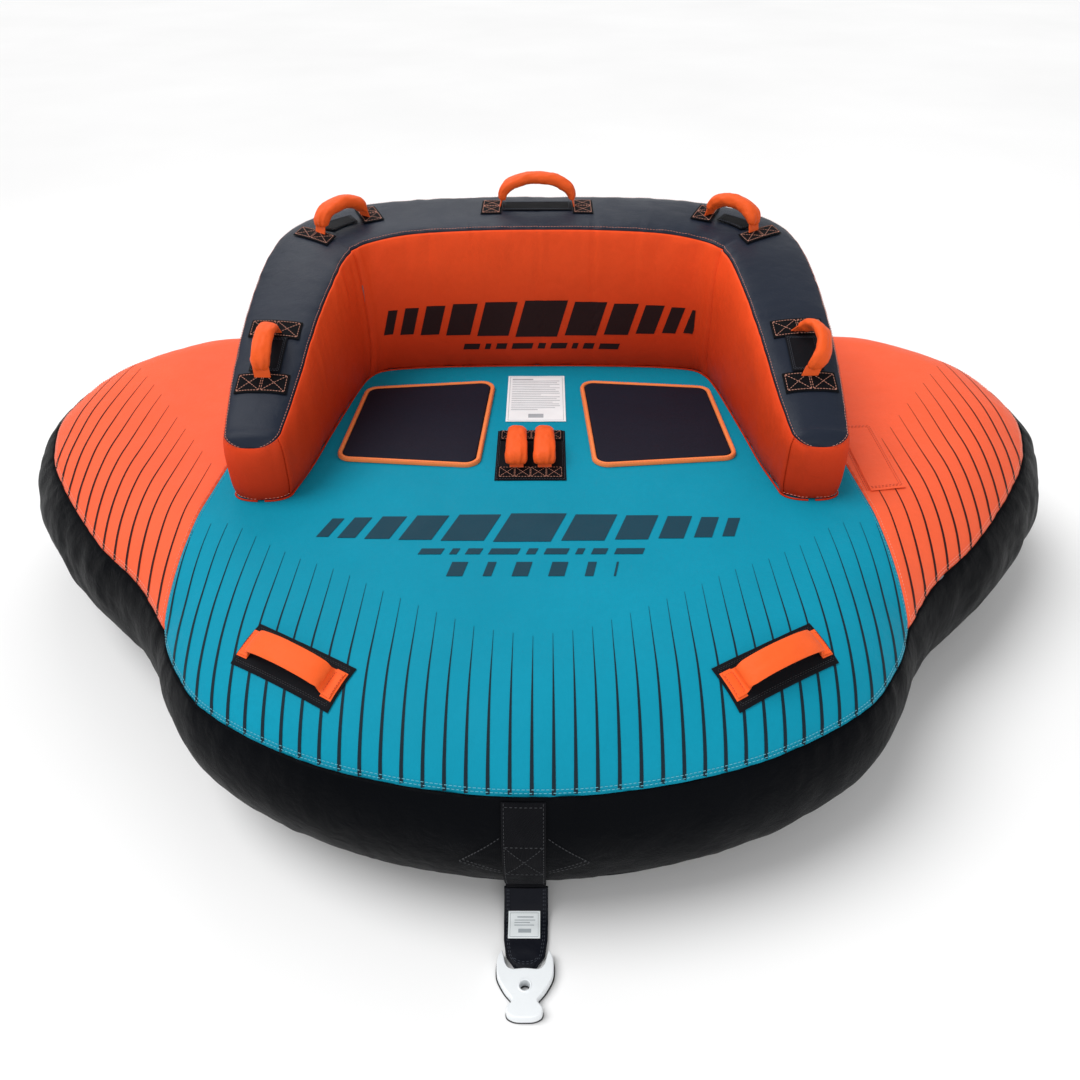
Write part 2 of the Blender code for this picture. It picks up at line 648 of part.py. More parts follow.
# name, side, station of the bar nearer the arm's front and of the one nearer the centre, bar lengths, lean, rise
GRIPS = [("arm_left", 1, 0.90, 1.98, 0.108, 0.112, 0.75, 0.046), ("arm_right", -1, 0.90, 1.98, 0.108, 0.112, 0.05, 0.036),
         ("rear_left", 1, 4.74, 6.38, 0.120, 0.110, 0.25, 0.040), ("rear_right", -1, 4.74, 6.38, 0.120, 0.110, 0.10, 0.040)]
for label, s, front, rear, len_a, len_b, lean, rise in GRIPS:
    middle = (front + rear) / 2
    for end, station, length in (("front", front, len_a), ("rear", rear, len_b)):
        at_corner = label.startswith("rear")
        cross_band(f"grip_bar_{label}_{end}", station, length, WEBBING, 0.0020 if at_corner else LAYER_GAP, WEBBING_T, BLACK, 0.7, s,
                   0.006 if at_corner else 0.0)
    pa, pb = rest_at(front, 0), rest_at(rear, 0)
    along = (pb - pa).normalized()
    # knuckle guard between the two bars, cut to follow the crown
    points, ways, normals = [], [], []
    count = 4
    for k in range(count + 1):
        st = front + (rear - front) * k / count
        al, ac, out = rest_frame(st)
        points.append(rest_at(st, 0))
        ways.append(ac)
        normals.append(out)
    near = (points[1] - points[0]).length
    space = WEBBING / 2 + (0.014 if label.startswith("rear") else 0.002)
    points[0] = points[0] + (points[1] - points[0]).normalized() * space
    points[-1] = points[-1] + (points[-2] - points[-1]).normalized() * space
    bm = ribbon(points, ways, normals, 0.056 if label.startswith("rear") else 0.066, PATCH_T, LAYER_GAP + 0.0020)
    flip = Matrix.Scale(-1 if s < 0 else 1, 4, (1, 0, 0))
    bmesh.ops.transform(bm, matrix=flip, verts=bm.verts)
    bmesh.ops.recalc_face_normals(bm, faces=bm.faces)
    put("knuckle_guard_" + label, bm_mesh("knuckle_guard_" + label, bm), BLACK, 0.8)
    al, ac, out = rest_frame(middle)
    lift = 0.017
    ga = pa + along * (WEBBING / 2 - 0.004) + out * lift
    gb = pb - along * (WEBBING / 2 - 0.004) + out * lift
    if label.startswith("rear"):
        ga = pa + along * (WEBBING / 2 - 0.006) + Vector((0, 0, lift + 0.004))
        gb = pb - along * (WEBBING / 2 - 0.006) + Vector((0, 0, lift + 0.004))
    way = (out + ac * lean)
    soft_grip("grip_" + label, ga, gb, way, rise, GRIP_WIDTH, GRIP_THICK, 0.022, s)

# rear centre grip
CROWN = rest_at(len(REST) - 1.001, 0)
for end, x in (("left", 0.112), ("right", -0.112)):
    points, ways, normals = [], [], []
    for k in range(7):
        d = -0.052 + 0.100 * k / 6
        half_width = (REST[-1][3] - REST[-1][1]) / 2
        u = d / half_width
        p = rest_at(len(REST) - 1.001, u)
        q = rest_at(len(REST) - 1.001, u + 0.04) - rest_at(len(REST) - 1.001, u - 0.04)
        n = Vector((0, -q.z, q.y)).normalized()
        points.append((x, p.y, rest_at(len(REST) - 1 - x / 0.15 * math.copysign(1, x) - 0.001, u).z))
        ways.append((1, 0, 0))
        normals.append(n)
    bm = ribbon(points, ways, normals, WEBBING, WEBBING_T, LAYER_GAP)
    put("grip_bar_rear_centre_" + end, bm_mesh("grip_bar_rear_centre_" + end, bm), BLACK, 0.7)
bm = ribbon([(x, CROWN.y, CROWN.z) for x in (-0.085, -0.04, 0.0, 0.04, 0.085)], [(0, 1, 0)] * 5, [(0, 0, 1)] * 5, 0.066, PATCH_T, LAYER_GAP + 0.0012)
put("knuckle_guard_rear_centre", bm_mesh("knuckle_guard_rear_centre", bm), BLACK, 0.8)
soft_grip("grip_rear_centre", (-GRIP_LENGTH_REAR / 2, CROWN.y, CROWN.z + 0.018), (GRIP_LENGTH_REAR / 2, CROWN.y, CROWN.z + 0.018),
          (0, -0.05, 1), 0.054, 0.042, GRIP_THICK, 0.022)

# double grip in the middle of the deck
MID_X = -0.0125
slab("centre_patch", rounded_polygon([(MID_X - 0.077, -0.057), (MID_X + 0.077, -0.057), (MID_X + 0.077, 0.151), (MID_X - 0.077, 0.151)], 0.006, 2),
     SURFACE, SURFACE + PATCH_T, BLACK, 0.8)
MID_Z = SURFACE + PATCH_T + LAYER_GAP
for end, y0, y1 in (("front", -0.053, -0.008), ("rear", 0.105, 0.148)):
    slab("centre_bar_" + end, [(MID_X - 0.071, y0), (MID_X + 0.071, y0), (MID_X + 0.071, y1), (MID_X - 0.071, y1)],
         MID_Z, MID_Z + WEBBING_T, BLACK, 0.7)
for end, x in (("left", MID_X + 0.0305), ("right", MID_X - 0.0305)):
    soft_grip("centre_grip_" + end, (x, -0.014, MID_Z + 0.014), (x, 0.108, MID_Z + 0.014), (0, 0, 1), 0.030, 0.048, 0.026, 0.026)


# ------------------------------------------------ flat strap handles at the bow
DECK_GRIP = (0.4055, -0.594)          # middle of the left patch, seen from above
DECK_GRIP_TURN = math.radians(-30.5)  # its long side, turned from +X (left patch: outer end aft)
DECK_PATCH = (0.216, 0.084)
DECK_STRAP = 0.052
DECK_STRAP_REACH = 0.086              # half the distance between the strap's sewn ends


def deck_strip(name, s, start, end, width, thickness, lift, color, rough, rows=8, cols=2):
    """A patch lying on the hull's shoulder, cut by two distances along the handle's line."""
    along = Vector((math.cos(DECK_GRIP_TURN), -math.sin(DECK_GRIP_TURN), 0))
    down = Vector((-math.sin(DECK_GRIP_TURN), -math.cos(DECK_GRIP_TURN), 0))
    if down.y > 0:
        down.negate()
    centre = Vector((DECK_GRIP[0], DECK_GRIP[1], 0))
    top, low = [], []
    for i in range(rows + 1):
        for j in range(cols + 1):
            p = centre + along * (start + (end - start) * i / rows) + down * (width * (j / cols - 0.5) * 0.93)
            n = deck_normal(p.x, p.y)
            base = Vector((p.x, p.y, deck_z(p.x, p.y)))
            low.append(base + n * lift)
            top.append(base + n * (lift + thickness))
    n_pts = len(low)
    verts = [Vector((v.x * s, v.y, v.z)) for v in low + top]
    faces = []

    def at(i, j):
        return i * (cols + 1) + j

    for i in range(rows):
        for j in range(cols):
            quad = (at(i, j), at(i + 1, j), at(i + 1, j + 1), at(i, j + 1))
            faces += [quad, tuple(k + n_pts for k in quad[::-1])]
    edge = [at(i, 0) for i in range(rows + 1)] + [at(rows, j) for j in range(1, cols + 1)] \
        + [at(i, cols) for i in range(rows - 1, -1, -1)] + [at(0, j) for j in range(cols - 1, 0, -1)]
    for k, a in enumerate(edge):
        b = edge[(k + 1) % len(edge)]
        faces.append((a, b, b + n_pts, a + n_pts))
    bm, _ = surface_bm(verts, faces)
    bmesh.ops.recalc_face_normals(bm, faces=bm.faces)
    return put(name, bm_mesh(name, bm), color, rough)


def deck_point(distance, lift):
    along = Vector((math.cos(DECK_GRIP_TURN), -math.sin(DECK_GRIP_TURN), 0))
    p = Vector((DECK_GRIP[0], DECK_GRIP[1], 0)) + along * distance
    return Vector((p.x, p.y, deck_z(p.x, p.y))) + deck_normal(p.x, p.y) * lift


for side, s in (("left", 1), ("right", -1)):
    half = DECK_PATCH[0] / 2
    deck_strip("deck_patch_" + side, s, -half, half, DECK_PATCH[1], PATCH_T, 0.0016, BLACK, 0.8)
    lift = 0.0016 + PATCH_T + 0.0008
    deck_strip("strap_tab_inner_" + side, s, -half + 0.004, -DECK_STRAP_REACH + 0.004, DECK_STRAP, 0.0022, lift, ORANGE, 0.6, 1, 2)
    deck_strip("strap_tab_outer_" + side, s, DECK_STRAP_REACH - 0.004, half - 0.004, DECK_STRAP, 0.0022, lift, ORANGE, 0.6, 1, 2)
    a, b = deck_point(-DECK_STRAP_REACH + 0.006, 0.016), deck_point(DECK_STRAP_REACH - 0.006, 0.016)
    middle = (a + b) / 2
    out = deck_normal(middle.x, middle.y)
    chord = (b - a).normalized()
    out = (out - chord * out.dot(chord)).normalized()
    across = chord.cross(out).normalized()
    reach = (b - a).length
    points, ways, normals, widths = [], [], [], []
    for k in range(11):
        t = k / 10
        angle = math.pi * t
        p = middle - chord * (math.cos(angle) * reach / 2) + out * (0.030 * math.sin(angle) ** 0.9)
        tilt = 0.5 * math.cos(angle)
        n = (out - chord * tilt).normalized()
        points.append(Vector((p.x * s, p.y, p.z)))
        ways.append(Vector((across.x * s, across.y, across.z)))
        normals.append(Vector((n.x * s, n.y, n.z)))
        widths.append(0.036 + (DECK_STRAP - 0.036) * min(1.0, math.sin(angle) * 2.2))
    bm = ribbon(points, ways, normals, widths, 0.0035, -0.00175)
    put("deck_strap_" + side, bm_mesh("deck_strap_" + side, bm), ORANGE, 0.6, origin=(middle.x * s, middle.y, middle.z))

# --------------------------------------------------------------- towing gear
TOW_X = -0.015
BOW_Y = -0.837


def bow_point(angle, lift):
    inset, z = edge_section(angle)
    a = math.radians(angle)
    upper = DECK_HEIGHT - EDGE_HEIGHT if angle > 0 else EDGE_HEIGHT
    n = Vector((0, -math.cos(a) / EDGE_RADIUS, math.sin(a) / upper)).normalized()
    return Vector((TOW_X, BOW_Y + inset, z)) + n * lift, n


points, normals = [], []
for angle in (29, 22, 14, 6, -2, -10, -18, -26, -33):
    p, n = bow_point(angle, 0.0)
    points.append(p)
    normals.append(n)
bm = ribbon(points, [(1, 0, 0)] * len(points), normals, TOW_WEB, TOW_WEB_T, 0.0016)
put("tow_web", bm_mesh("tow_web", bm), BLACK, 0.6)

# The padded strap tail leaves the underside of the bow and lies on the ground.
TAIL_PIVOT = (TOW_X, -0.778, 0.052)
TAIL_PATH = [(-0.781, 0.049), (-0.789, 0.033), (-0.798, 0.0195), (-0.809, 0.0105), (-0.824, 0.0064), (-0.855, 0.0054), (-0.882, 0.0054), (-0.906, 0.0054)]
TAIL_WIDTH = [0.077, 0.077, 0.077, 0.077, 0.077, 0.075, 0.067, 0.052]


def tail_line(path):
    pts = [Vector((TOW_X, y, z)) for y, z in path]
    out = []
    for k in range(len(pts)):
        t = pts[min(k + 1, len(pts) - 1)] - pts[max(k - 1, 0)]
        n = Vector((0, -t.z, t.y)).normalized()
        out.append(n if n.z > 0 else -n)
    return pts, out


points, normals = tail_line(TAIL_PATH)
bm = ribbon(points, [(1, 0, 0)] * len(points), normals, TAIL_WIDTH, STRAP_T, -STRAP_T / 2)
put("tow_strap_tail", bm_mesh("tow_strap_tail", bm), BLACK, 0.5, origin=TAIL_PIVOT)
points, normals = tail_line([(-0.812, 0.0097), (-0.824, 0.0064), (-0.840, 0.0059), (-0.857, 0.0054)])
points = [p - Vector((0.003, 0, 0)) for p in points]
bm = ribbon(points, [(1, 0, 0)] * len(points), normals, 0.055, 0.0006, STRAP_T / 2 + 0.0010)
put("strap_label", bm_mesh("strap_label", bm), WHITE, 0.5)

# quick connector: two horns that hold the strap's loop, a neck for the rope and a flared nose
HORN = [(0.0, 0.011), (0.022, 0.010), (0.032, 0.018), (0.039, 0.041), (0.046, 0.030), (0.0475, 0.012), (0.045, -0.004), (0.034, -0.024),
        (0.0225, -0.038), (0.0215, -0.044), (0.029, -0.054), (0.0275, -0.064), (0.016, -0.070), (0.0, -0.071)]
CONNECTOR_Y = -0.922
half = [(x, y) for x, y in HORN]
outline = [(x, y + CONNECTOR_Y + 0.0) for x, y in half] + [(-x, y + CONNECTOR_Y) for x, y in half[-2:0:-1]]
outline = [(x + TOW_X, y) for x, y in outline]
CONNECTOR_PIVOT = (TOW_X, -0.8850, 0.0110)


def connector_plate(name, z0, z1, grow, color, rough):
    pts = [(TOW_X + (x - TOW_X) * grow, y) for x, y in outline]
    body = slab(name, pts, z0, z1, color, rough, origin=CONNECTOR_PIVOT)
    cutter_bm = bmesh.new()
    bmesh.ops.create_cone(cutter_bm, cap_ends=True, segments=16, radius1=0.0075, radius2=0.0075, depth=0.08,
                          matrix=Matrix.Translation((TOW_X, CONNECTOR_Y - 0.019, 0.01)))
    cutter = put(name + "_hole_cutter", bm_mesh(name + "_hole_cutter", cutter_bm), BLACK, smooth=False)
    cutter.hide_render = True
    cutter.display_type = "WIRE"
    cut = body.modifiers.new("hole", "BOOLEAN")
    cut.operation = "DIFFERENCE"
    cut.object = cutter
    return body


connector_plate("tow_connector", 0.0036, 0.0216, 1.0, WHITE, 0.35)
connector_plate("connector_back_plate", 0.0, 0.0032, 1.04, BLACK, 0.5)


# -------------------------------------------------------------------- valves
def disc(name, radius, z0, z1, place, color, rough, bore=0.0, steps=20, origin=None):
    ring_out = [(radius * math.cos(2 * math.pi * k / steps), radius * math.sin(2 * math.pi * k / steps)) for k in range(steps)]
    ring_in = None
    if bore:
        ring_in = [(bore * math.cos(2 * math.pi * k / steps), bore * math.sin(2 * math.pi * k / steps)) for k in range(steps)]
    return slab(name, ring_out, z0, z1, color, rough, hole=ring_in, place=place, origin=origin)


def turned(name, profile, place, color, rough, origin=None, steps=20, metal=0.0):
    """A solid turned about its own z axis from (radius, z) points running from the axis and back to it."""
    verts, faces = [], []
    rows = []
    for r, z in profile:
        if r < 1e-6:
            rows.append([len(verts)])
            verts.append((0, 0, z))
        else:
            rows.append(list(range(len(verts), len(verts) + steps)))
            verts += [(r * math.cos(2 * math.pi * k / steps), r * math.sin(2 * math.pi * k / steps), z) for k in range(steps)]
    for a, b in zip(rows, rows[1:]):
        for k in range(steps):
            n = (k + 1) % steps
            if len(a) == 1 and len(b) == 1:
                continue
            if len(a) == 1:
                faces.append((a[0], b[n], b[k]))
            elif len(b) == 1:
                faces.append((a[k], a[n], b[0]))
            else:
                faces.append((a[k], a[n], b[n], b[k]))
    bm, _ = surface_bm(verts, faces)
    bmesh.ops.recalc_face_normals(bm, faces=bm.faces)
    mesh = bm_mesh(name, bm)
    mesh.transform(place)
    return put(name, mesh, color, rough, metal, origin=origin)


def pocket(targets, place, radius, depth, name):
    """Cuts a round pocket into bladders and an opening through covers, along the place's own z axis."""
    for k, (target, r, z0, z1) in enumerate(targets):
        cutter_bm = bmesh.new()
        bmesh.ops.create_cone(cutter_bm, cap_ends=True, segments=20, radius1=r, radius2=r, depth=z1 - z0,
                              matrix=place @ Matrix.Translation((0, 0, (z0 + z1) / 2)))
        bmesh.ops.recalc_face_normals(cutter_bm, faces=cutter_bm.faces)
        cutter = put(f"{name}_cutter_{k}", bm_mesh(f"{name}_cutter_{k}", cutter_bm), BLACK, smooth=False)
        cutter.hide_render = True
        cutter.display_type = "WIRE"
        cut = target.modifiers.new("valve opening", "BOOLEAN")
        cut.operation = "DIFFERENCE"
        cut.object = cutter


def valve(name, place, floor):
    """A valve body standing on the pocket floor, and its threaded cap."""
    turned(name + "_body", [(0, floor + 0.0005), (0.026, floor + 0.0005), (0.026, floor + 0.0030), (0.0185, floor + 0.0032),
                            (0.0185, floor + 0.0110), (0.0125, floor + 0.0110), (0.0125, floor + 0.0040), (0, floor + 0.0040)],
           place, PVC, 0.4)
    turned(name + "_cap", [(0, floor + 0.0060), (0.0112, floor + 0.0060), (0.0112, floor + 0.0114), (0.0205, floor + 0.0114),
                           (0.0205, floor + 0.0160), (0.0185, floor + 0.0175), (0, floor + 0.0175)],
           place, BLACK, 0.4, origin=place @ Vector((0, 0, floor + 0.0115)))


hull_valve_place = Matrix.Translation((VALVE_SPOT[0], VALVE_SPOT[1], DECK_HEIGHT))
pocket([(hull_bladder, 0.030, -0.022, 0.05), (wing_left, 0.033, -0.03, 0.05)], hull_valve_place, 0.036, 0.022, "hull_valve")
valve("hull_valve", hull_valve_place, -0.022)

# Flap over the hull valve, sewn down along its inner edge.
FLAP_T = 0.0020
slab("hull_valve_flap", rounded_polygon([(0.700, -0.100), (0.776, -0.088), (0.776, 0.172), (0.700, 0.172)], 0.010, 3),
     DECK_HEIGHT + 0.0008, DECK_HEIGHT + 0.0008 + FLAP_T, PALE_ORANGE, 0.55, origin=(0.700, 0.036, DECK_HEIGHT + 0.0018))

wall_y = REST[-2][3] + OUTER_BULGE
rest_valve_place = Matrix.Translation((-REST_VALVE[0], wall_y - 0.004, REST_VALVE[1])) @ Matrix.Rotation(math.radians(-90), 4, "X")
pocket([(backrest_bladder, 0.030, -0.022, 0.06), (rest_outer, 0.033, -0.03, 0.06)], rest_valve_place, 0.036, 0.022, "backrest_valve")
valve("backrest_valve", rest_valve_place, -0.022)
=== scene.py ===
"""Towable tube: the looks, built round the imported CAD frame. Metres, +Z up, -Y is the towing end."""
import json
import math

import bmesh
import bpy
import numpy as np
from mathutils import Matrix, Vector

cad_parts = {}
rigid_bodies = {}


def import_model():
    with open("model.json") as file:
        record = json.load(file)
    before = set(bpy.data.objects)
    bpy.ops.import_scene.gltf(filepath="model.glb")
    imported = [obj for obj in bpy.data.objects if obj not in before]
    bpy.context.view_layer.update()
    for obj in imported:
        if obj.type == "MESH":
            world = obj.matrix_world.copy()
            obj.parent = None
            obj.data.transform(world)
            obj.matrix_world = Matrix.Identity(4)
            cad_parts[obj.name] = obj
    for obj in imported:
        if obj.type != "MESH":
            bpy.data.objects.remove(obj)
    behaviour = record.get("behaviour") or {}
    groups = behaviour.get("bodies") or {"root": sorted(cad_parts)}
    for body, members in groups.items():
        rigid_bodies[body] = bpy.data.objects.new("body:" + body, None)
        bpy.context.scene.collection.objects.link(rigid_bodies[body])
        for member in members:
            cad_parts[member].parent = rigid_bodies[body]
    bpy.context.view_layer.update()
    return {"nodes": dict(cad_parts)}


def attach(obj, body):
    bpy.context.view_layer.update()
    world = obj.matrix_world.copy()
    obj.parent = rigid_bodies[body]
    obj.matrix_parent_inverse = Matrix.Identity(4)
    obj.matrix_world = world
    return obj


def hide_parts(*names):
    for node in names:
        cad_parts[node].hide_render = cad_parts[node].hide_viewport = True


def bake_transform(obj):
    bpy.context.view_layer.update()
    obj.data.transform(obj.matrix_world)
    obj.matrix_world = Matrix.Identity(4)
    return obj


for old in list(bpy.data.objects):
    bpy.data.objects.remove(old, do_unlink=True)

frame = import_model()
NODES = frame["nodes"]

# ------------------------------------------------------------ the frame's own dimensions
EDGE_R, EDGE_H, DECK = 0.220, 0.220, 0.420
BOW = [(0.0, -0.837), (0.20, -0.815), (0.40, -0.754), (0.585, -0.645), (0.68, -0.530), (0.730, -0.435)]
WING = [(0.730, -0.435), (0.82, -0.320), (0.955, -0.195), (1.11, -0.020), (1.205, 0.130), (1.254, 0.320),
        (1.205, 0.560), (1.05, 0.735), (0.87, 0.815), (0.50, 0.852), (0.0, 0.860)]
SEAM_ANGLE = [(0.0, 32.0), (0.36, 30.0), (0.46, 36.0), (0.58, 48.0), (0.68, 58.0), (1.0, 56.0)]
LOW_SEAM = -34.0
REST = [(0.512, -0.100, 0.626, -0.100, 0.562), (0.492, 0.010, 0.631, 0.015, 0.616),
        (0.478, 0.130, 0.634, 0.150, 0.668), (0.462, 0.255, 0.634, 0.300, 0.710),
        (0.447, 0.360, 0.628, 0.445, 0.738), (0.430, 0.425, 0.602, 0.585, 0.748),
        (0.395, 0.462, 0.510, 0.695, 0.753), (0.300, 0.480, 0.360, 0.727, 0.766),
        (0.150, 0.488, 0.170, 0.734, 0.772), (0.0, 0.490, 0.0, 0.736, 0.773)]
FOOT_CLEAR = 0.0030
PAD = [(0.445, 0.024), (0.426, 0.358), (0.104, 0.392), (0.124, -0.008)]
STEPS = (176, 288)


# ------------------------------------------------------------------------ numbers
def noise(p, seed=0):
    """Smooth value noise from -1 to 1 at an array of points."""
    p = np.asarray(p, float)
    if p.shape[1] == 2:
        p = np.column_stack([p, np.zeros(len(p))])
    base = np.floor(p).astype(np.int64)
    f = p - base
    f = f * f * f * (f * (f * 6 - 15) + 10)
    out = np.zeros(len(p))
    for dx in (0, 1):
        for dy in (0, 1):
            for dz in (0, 1):
                a, b, c = base[:, 0] + dx, base[:, 1] + dy, base[:, 2] + dz
                n = (a * 374761393 + b * 668265263 + c * 1442695041 + seed * 974634777) & 0xFFFFFFFF
                n = ((n ^ (n >> 13)) * 1274126177) & 0xFFFFFFFF
                h = ((n ^ (n >> 16)) & 0xFFFF) / 32767.5 - 1
                w = (f[:, 0] if dx else 1 - f[:, 0]) * (f[:, 1] if dy else 1 - f[:, 1]) * (f[:, 2] if dz else 1 - f[:, 2])
                out += w * h
    return out


def fractal(p, seed=0, octaves=3):
    p = np.asarray(p, float)
    return sum(noise(p * 2 ** k, seed + k) / 2 ** k for k in range(octaves)) / sum(1 / 2 ** k for k in range(octaves))


def smoothstep(a, b, x):
    t = np.clip((np.asarray(x, float) - a) / (b - a), 0, 1)
    return t * t * (3 - 2 * t)


def smooth_curve(points, steps):
    pts = np.array(points, float)
    ext = np.vstack([2 * pts[0] - pts[1], pts, 2 * pts[-1] - pts[-2]])
    dense = []
    for k in range(len(pts) - 1):
        p0, p1, p2, p3 = ext[k:k + 4]
        for t in np.linspace(0, 1, 24, endpoint=False):
            dense.append(0.5 * (2 * p1 + (p2 - p0) * t + (2 * p0 - 5 * p1 + 4 * p2 - p3) * t ** 2
                                + (3 * p1 - p0 - 3 * p2 + p3) * t ** 3))
    dense.append(pts[-1])
    dense = np.array(dense)
    run = np.r_[0, np.cumsum(np.linalg.norm(np.diff(dense[:, :2], axis=0), axis=1))]
    want = np.linspace(0, run[-1], steps + 1)
    return np.stack([np.interp(want, run, dense[:, c]) for c in range(dense.shape[1])], axis=1)


def path_of(points, step):
    """A smooth curve through 3-D points, sampled about every step."""
    pts = np.array(points, float)
    ext = np.vstack([2 * pts[0] - pts[1], pts, 2 * pts[-1] - pts[-2]])
    dense = []
    for k in range(len(pts) - 1):
        p0, p1, p2, p3 = ext[k:k + 4]
        for t in np.linspace(0, 1, 24, endpoint=False):
            dense.append(0.5 * (2 * p1 + (p2 - p0) * t + (2 * p0 - 5 * p1 + 4 * p2 - p3) * t ** 2
                                + (3 * p1 - p0 - 3 * p2 + p3) * t ** 3))
    dense.append(pts[-1])
    return resample(np.array(dense), step)


def resample(dense, step):
    dense = np.asarray(dense, float)
    run = np.r_[0, np.cumsum(np.linalg.norm(np.diff(dense, axis=0), axis=1))]
    n = max(2, int(round(run[-1] / step)))
    want = np.linspace(0, run[-1], n + 1)
    return np.stack([np.interp(want, run, dense[:, c]) for c in range(dense.shape[1])], axis=1)


def unit(v):
    v = np.asarray(v, float)
    return v / np.maximum(np.linalg.norm(v, axis=-1, keepdims=True), 1e-12)


# ---------------------------------------------------------------------- materials
def rgb(r, g, b):
    def lin(c):
        c /= 255
        return c / 12.92 if c <= 0.04045 else ((c + 0.055) / 1.055) ** 2.4
    return (lin(r), lin(g), lin(b))


class Nodes:
    def __init__(self, name):
        self.mat = bpy.data.materials.new(name)
        self.mat.use_nodes = True
        self.tree = self.mat.node_tree
        self.shader = self.tree.nodes["Principled BSDF"]
        self.coord = self.tree.nodes.new("ShaderNodeTexCoord").outputs["Object"]

    def link(self, a, b):
        self.tree.links.new(a, b)

    def math(self, op, a, b=None, c=None, clamp=False):
        n = self.tree.nodes.new("ShaderNodeMath")
        n.operation = op
        n.use_clamp = clamp
        for k, v in enumerate((a, b, c)):
            if v is None:
                continue
            if isinstance(v, (int, float)):
                n.inputs[k].default_value = v
            else:
                self.link(v, n.inputs[k])
        return n.outputs[0]

    def noise(self, scale, detail=3.0, rough=0.55, vector=None, distortion=0.0):
        n = self.tree.nodes.new("ShaderNodeTexNoise")
        n.inputs["Scale"].default_value = scale
        n.inputs["Detail"].default_value = detail
        n.inputs["Roughness"].default_value = rough
        n.inputs["Distortion"].default_value = distortion
        self.link(vector or self.coord, n.inputs["Vector"])
        return n.outputs["Fac"]

    def stretch(self, scale, turn=(0, 0, 0)):
        n = self.tree.nodes.new("ShaderNodeMapping")
        n.inputs["Scale"].default_value = scale
        n.inputs["Rotation"].default_value = turn
        self.link(self.coord, n.inputs["Vector"])
        return n.outputs["Vector"]

    def mix(self, fac, a, b, mode="MIX"):
        n = self.tree.nodes.new("ShaderNodeMix")
        n.data_type = "RGBA"
        n.blend_type = mode
        for socket, v in ((n.inputs["Factor"], fac), (n.inputs["A"], a), (n.inputs["B"], b)):
            socket = [s for s in n.inputs if s.name == socket.name and s.type == ("VALUE" if v is fac and socket.name == "Factor" else "RGBA")][0]
            if isinstance(v, (int, float)):
                socket.default_value = v
            elif isinstance(v, tuple):
                socket.default_value = (*v, 1.0)
            else:
                self.link(v, socket)
        return [s for s in n.outputs if s.type == "RGBA"][0]

    def ramp(self, value, low, high, a=0.0, b=1.0):
        n = self.tree.nodes.new("ShaderNodeMapRange")
        n.clamp = True
        for key, v in (("From Min", low), ("From Max", high), ("To Min", a), ("To Max", b)):
            n.inputs[key].default_value = v
        self.link(value, n.inputs["Value"])
        return n.outputs["Result"]

    def bump(self, height, strength, distance, below=None):
        n = self.tree.nodes.new("ShaderNodeBump")
        n.inputs["Strength"].default_value = strength
        n.inputs["Distance"].default_value = distance
        self.link(height, n.inputs["Height"])
        if below is not None:
            self.link(below, n.inputs["Normal"])
        return n.outputs["Normal"]

    def weave(self, period, turn=0.0):
        """Threads crossing at right angles, whatever way the surface faces."""
        k = 2 * math.pi / period
        sep = self.tree.nodes.new("ShaderNodeSeparateXYZ")
        self.link(self.stretch((1, 1, 1), (0, 0, turn)), sep.inputs[0])
        waves = [self.math("SINE", self.math("MULTIPLY", sep.outputs[i], k)) for i in range(3)]
        cross = self.math("ADD", self.math("MULTIPLY", waves[0], waves[1]), self.math("MULTIPLY", waves[1], waves[2]))
        return self.math("ADD", cross, self.math("MULTIPLY", waves[0], waves[2]))

    def scaled(self, color, low, high):
        return tuple(c * low for c in color), tuple(min(1.0, c * high) for c in color)


def cover_fabric(name, color, rough=0.55, weave=0.0016, vary=0.10, sheen=0.12, wrinkle=0.20, coat=0.0, spec=0.4, foot=None):
    m = Nodes(name)
    low, high = m.scaled(color, 1 - vary, 1 + vary * 0.8)
    broad = m.ramp(m.noise(2.6, 4, 0.6), 0.3, 0.7)
    body = m.mix(broad, low, high)
    fine = m.ramp(m.noise(90.0, 3, 0.7), 0.3, 0.7, 0.0, 1.0)
    body = m.mix(m.math("MULTIPLY", fine, 0.30), body, tuple(c * 0.86 for c in color))
    threads = m.weave(weave, 0.5)
    lines = m.ramp(threads, -1.2, 1.2)
    body = m.mix(m.math("MULTIPLY", lines, 0.16), body, tuple(c * 0.72 for c in color))
    if foot is not None:
        # painted shade: the cloth is darkened towards its foot where it meets the deck, in place of the shade that
        # falls there
        sep = m.tree.nodes.new("ShaderNodeSeparateXYZ")
        m.link(m.coord, sep.inputs[0])
        painted_foot_shade = m.ramp(sep.outputs[2], foot[0], foot[1], 1.0, 0.0)
        body = m.mix(m.math("MULTIPLY", painted_foot_shade, foot[2]), body, foot[3])
    m.link(body, m.shader.inputs["Base Color"])
    m.link(m.ramp(m.noise(14.0, 4, 0.6), 0.25, 0.75, rough - 0.07, rough + 0.09), m.shader.inputs["Roughness"])
    n = m.bump(threads, 0.22, 0.00030)
    n = m.bump(m.noise(26.0, 4, 0.55, distortion=0.4), wrinkle, 0.0040, n)
    n = m.bump(m.noise(150.0, 2, 0.5), 0.10, 0.0006, n)
    m.link(n, m.shader.inputs["Normal"])
    m.shader.inputs["Sheen Weight"].default_value = sheen
    m.shader.inputs["Sheen Roughness"].default_value = 0.45
    m.shader.inputs["Specular IOR Level"].default_value = spec
    m.shader.inputs["Coat Weight"].default_value = coat
    m.shader.inputs["Coat Roughness"].default_value = 0.35
    m.mat.diffuse_color = (*color, 1)
    return m.mat


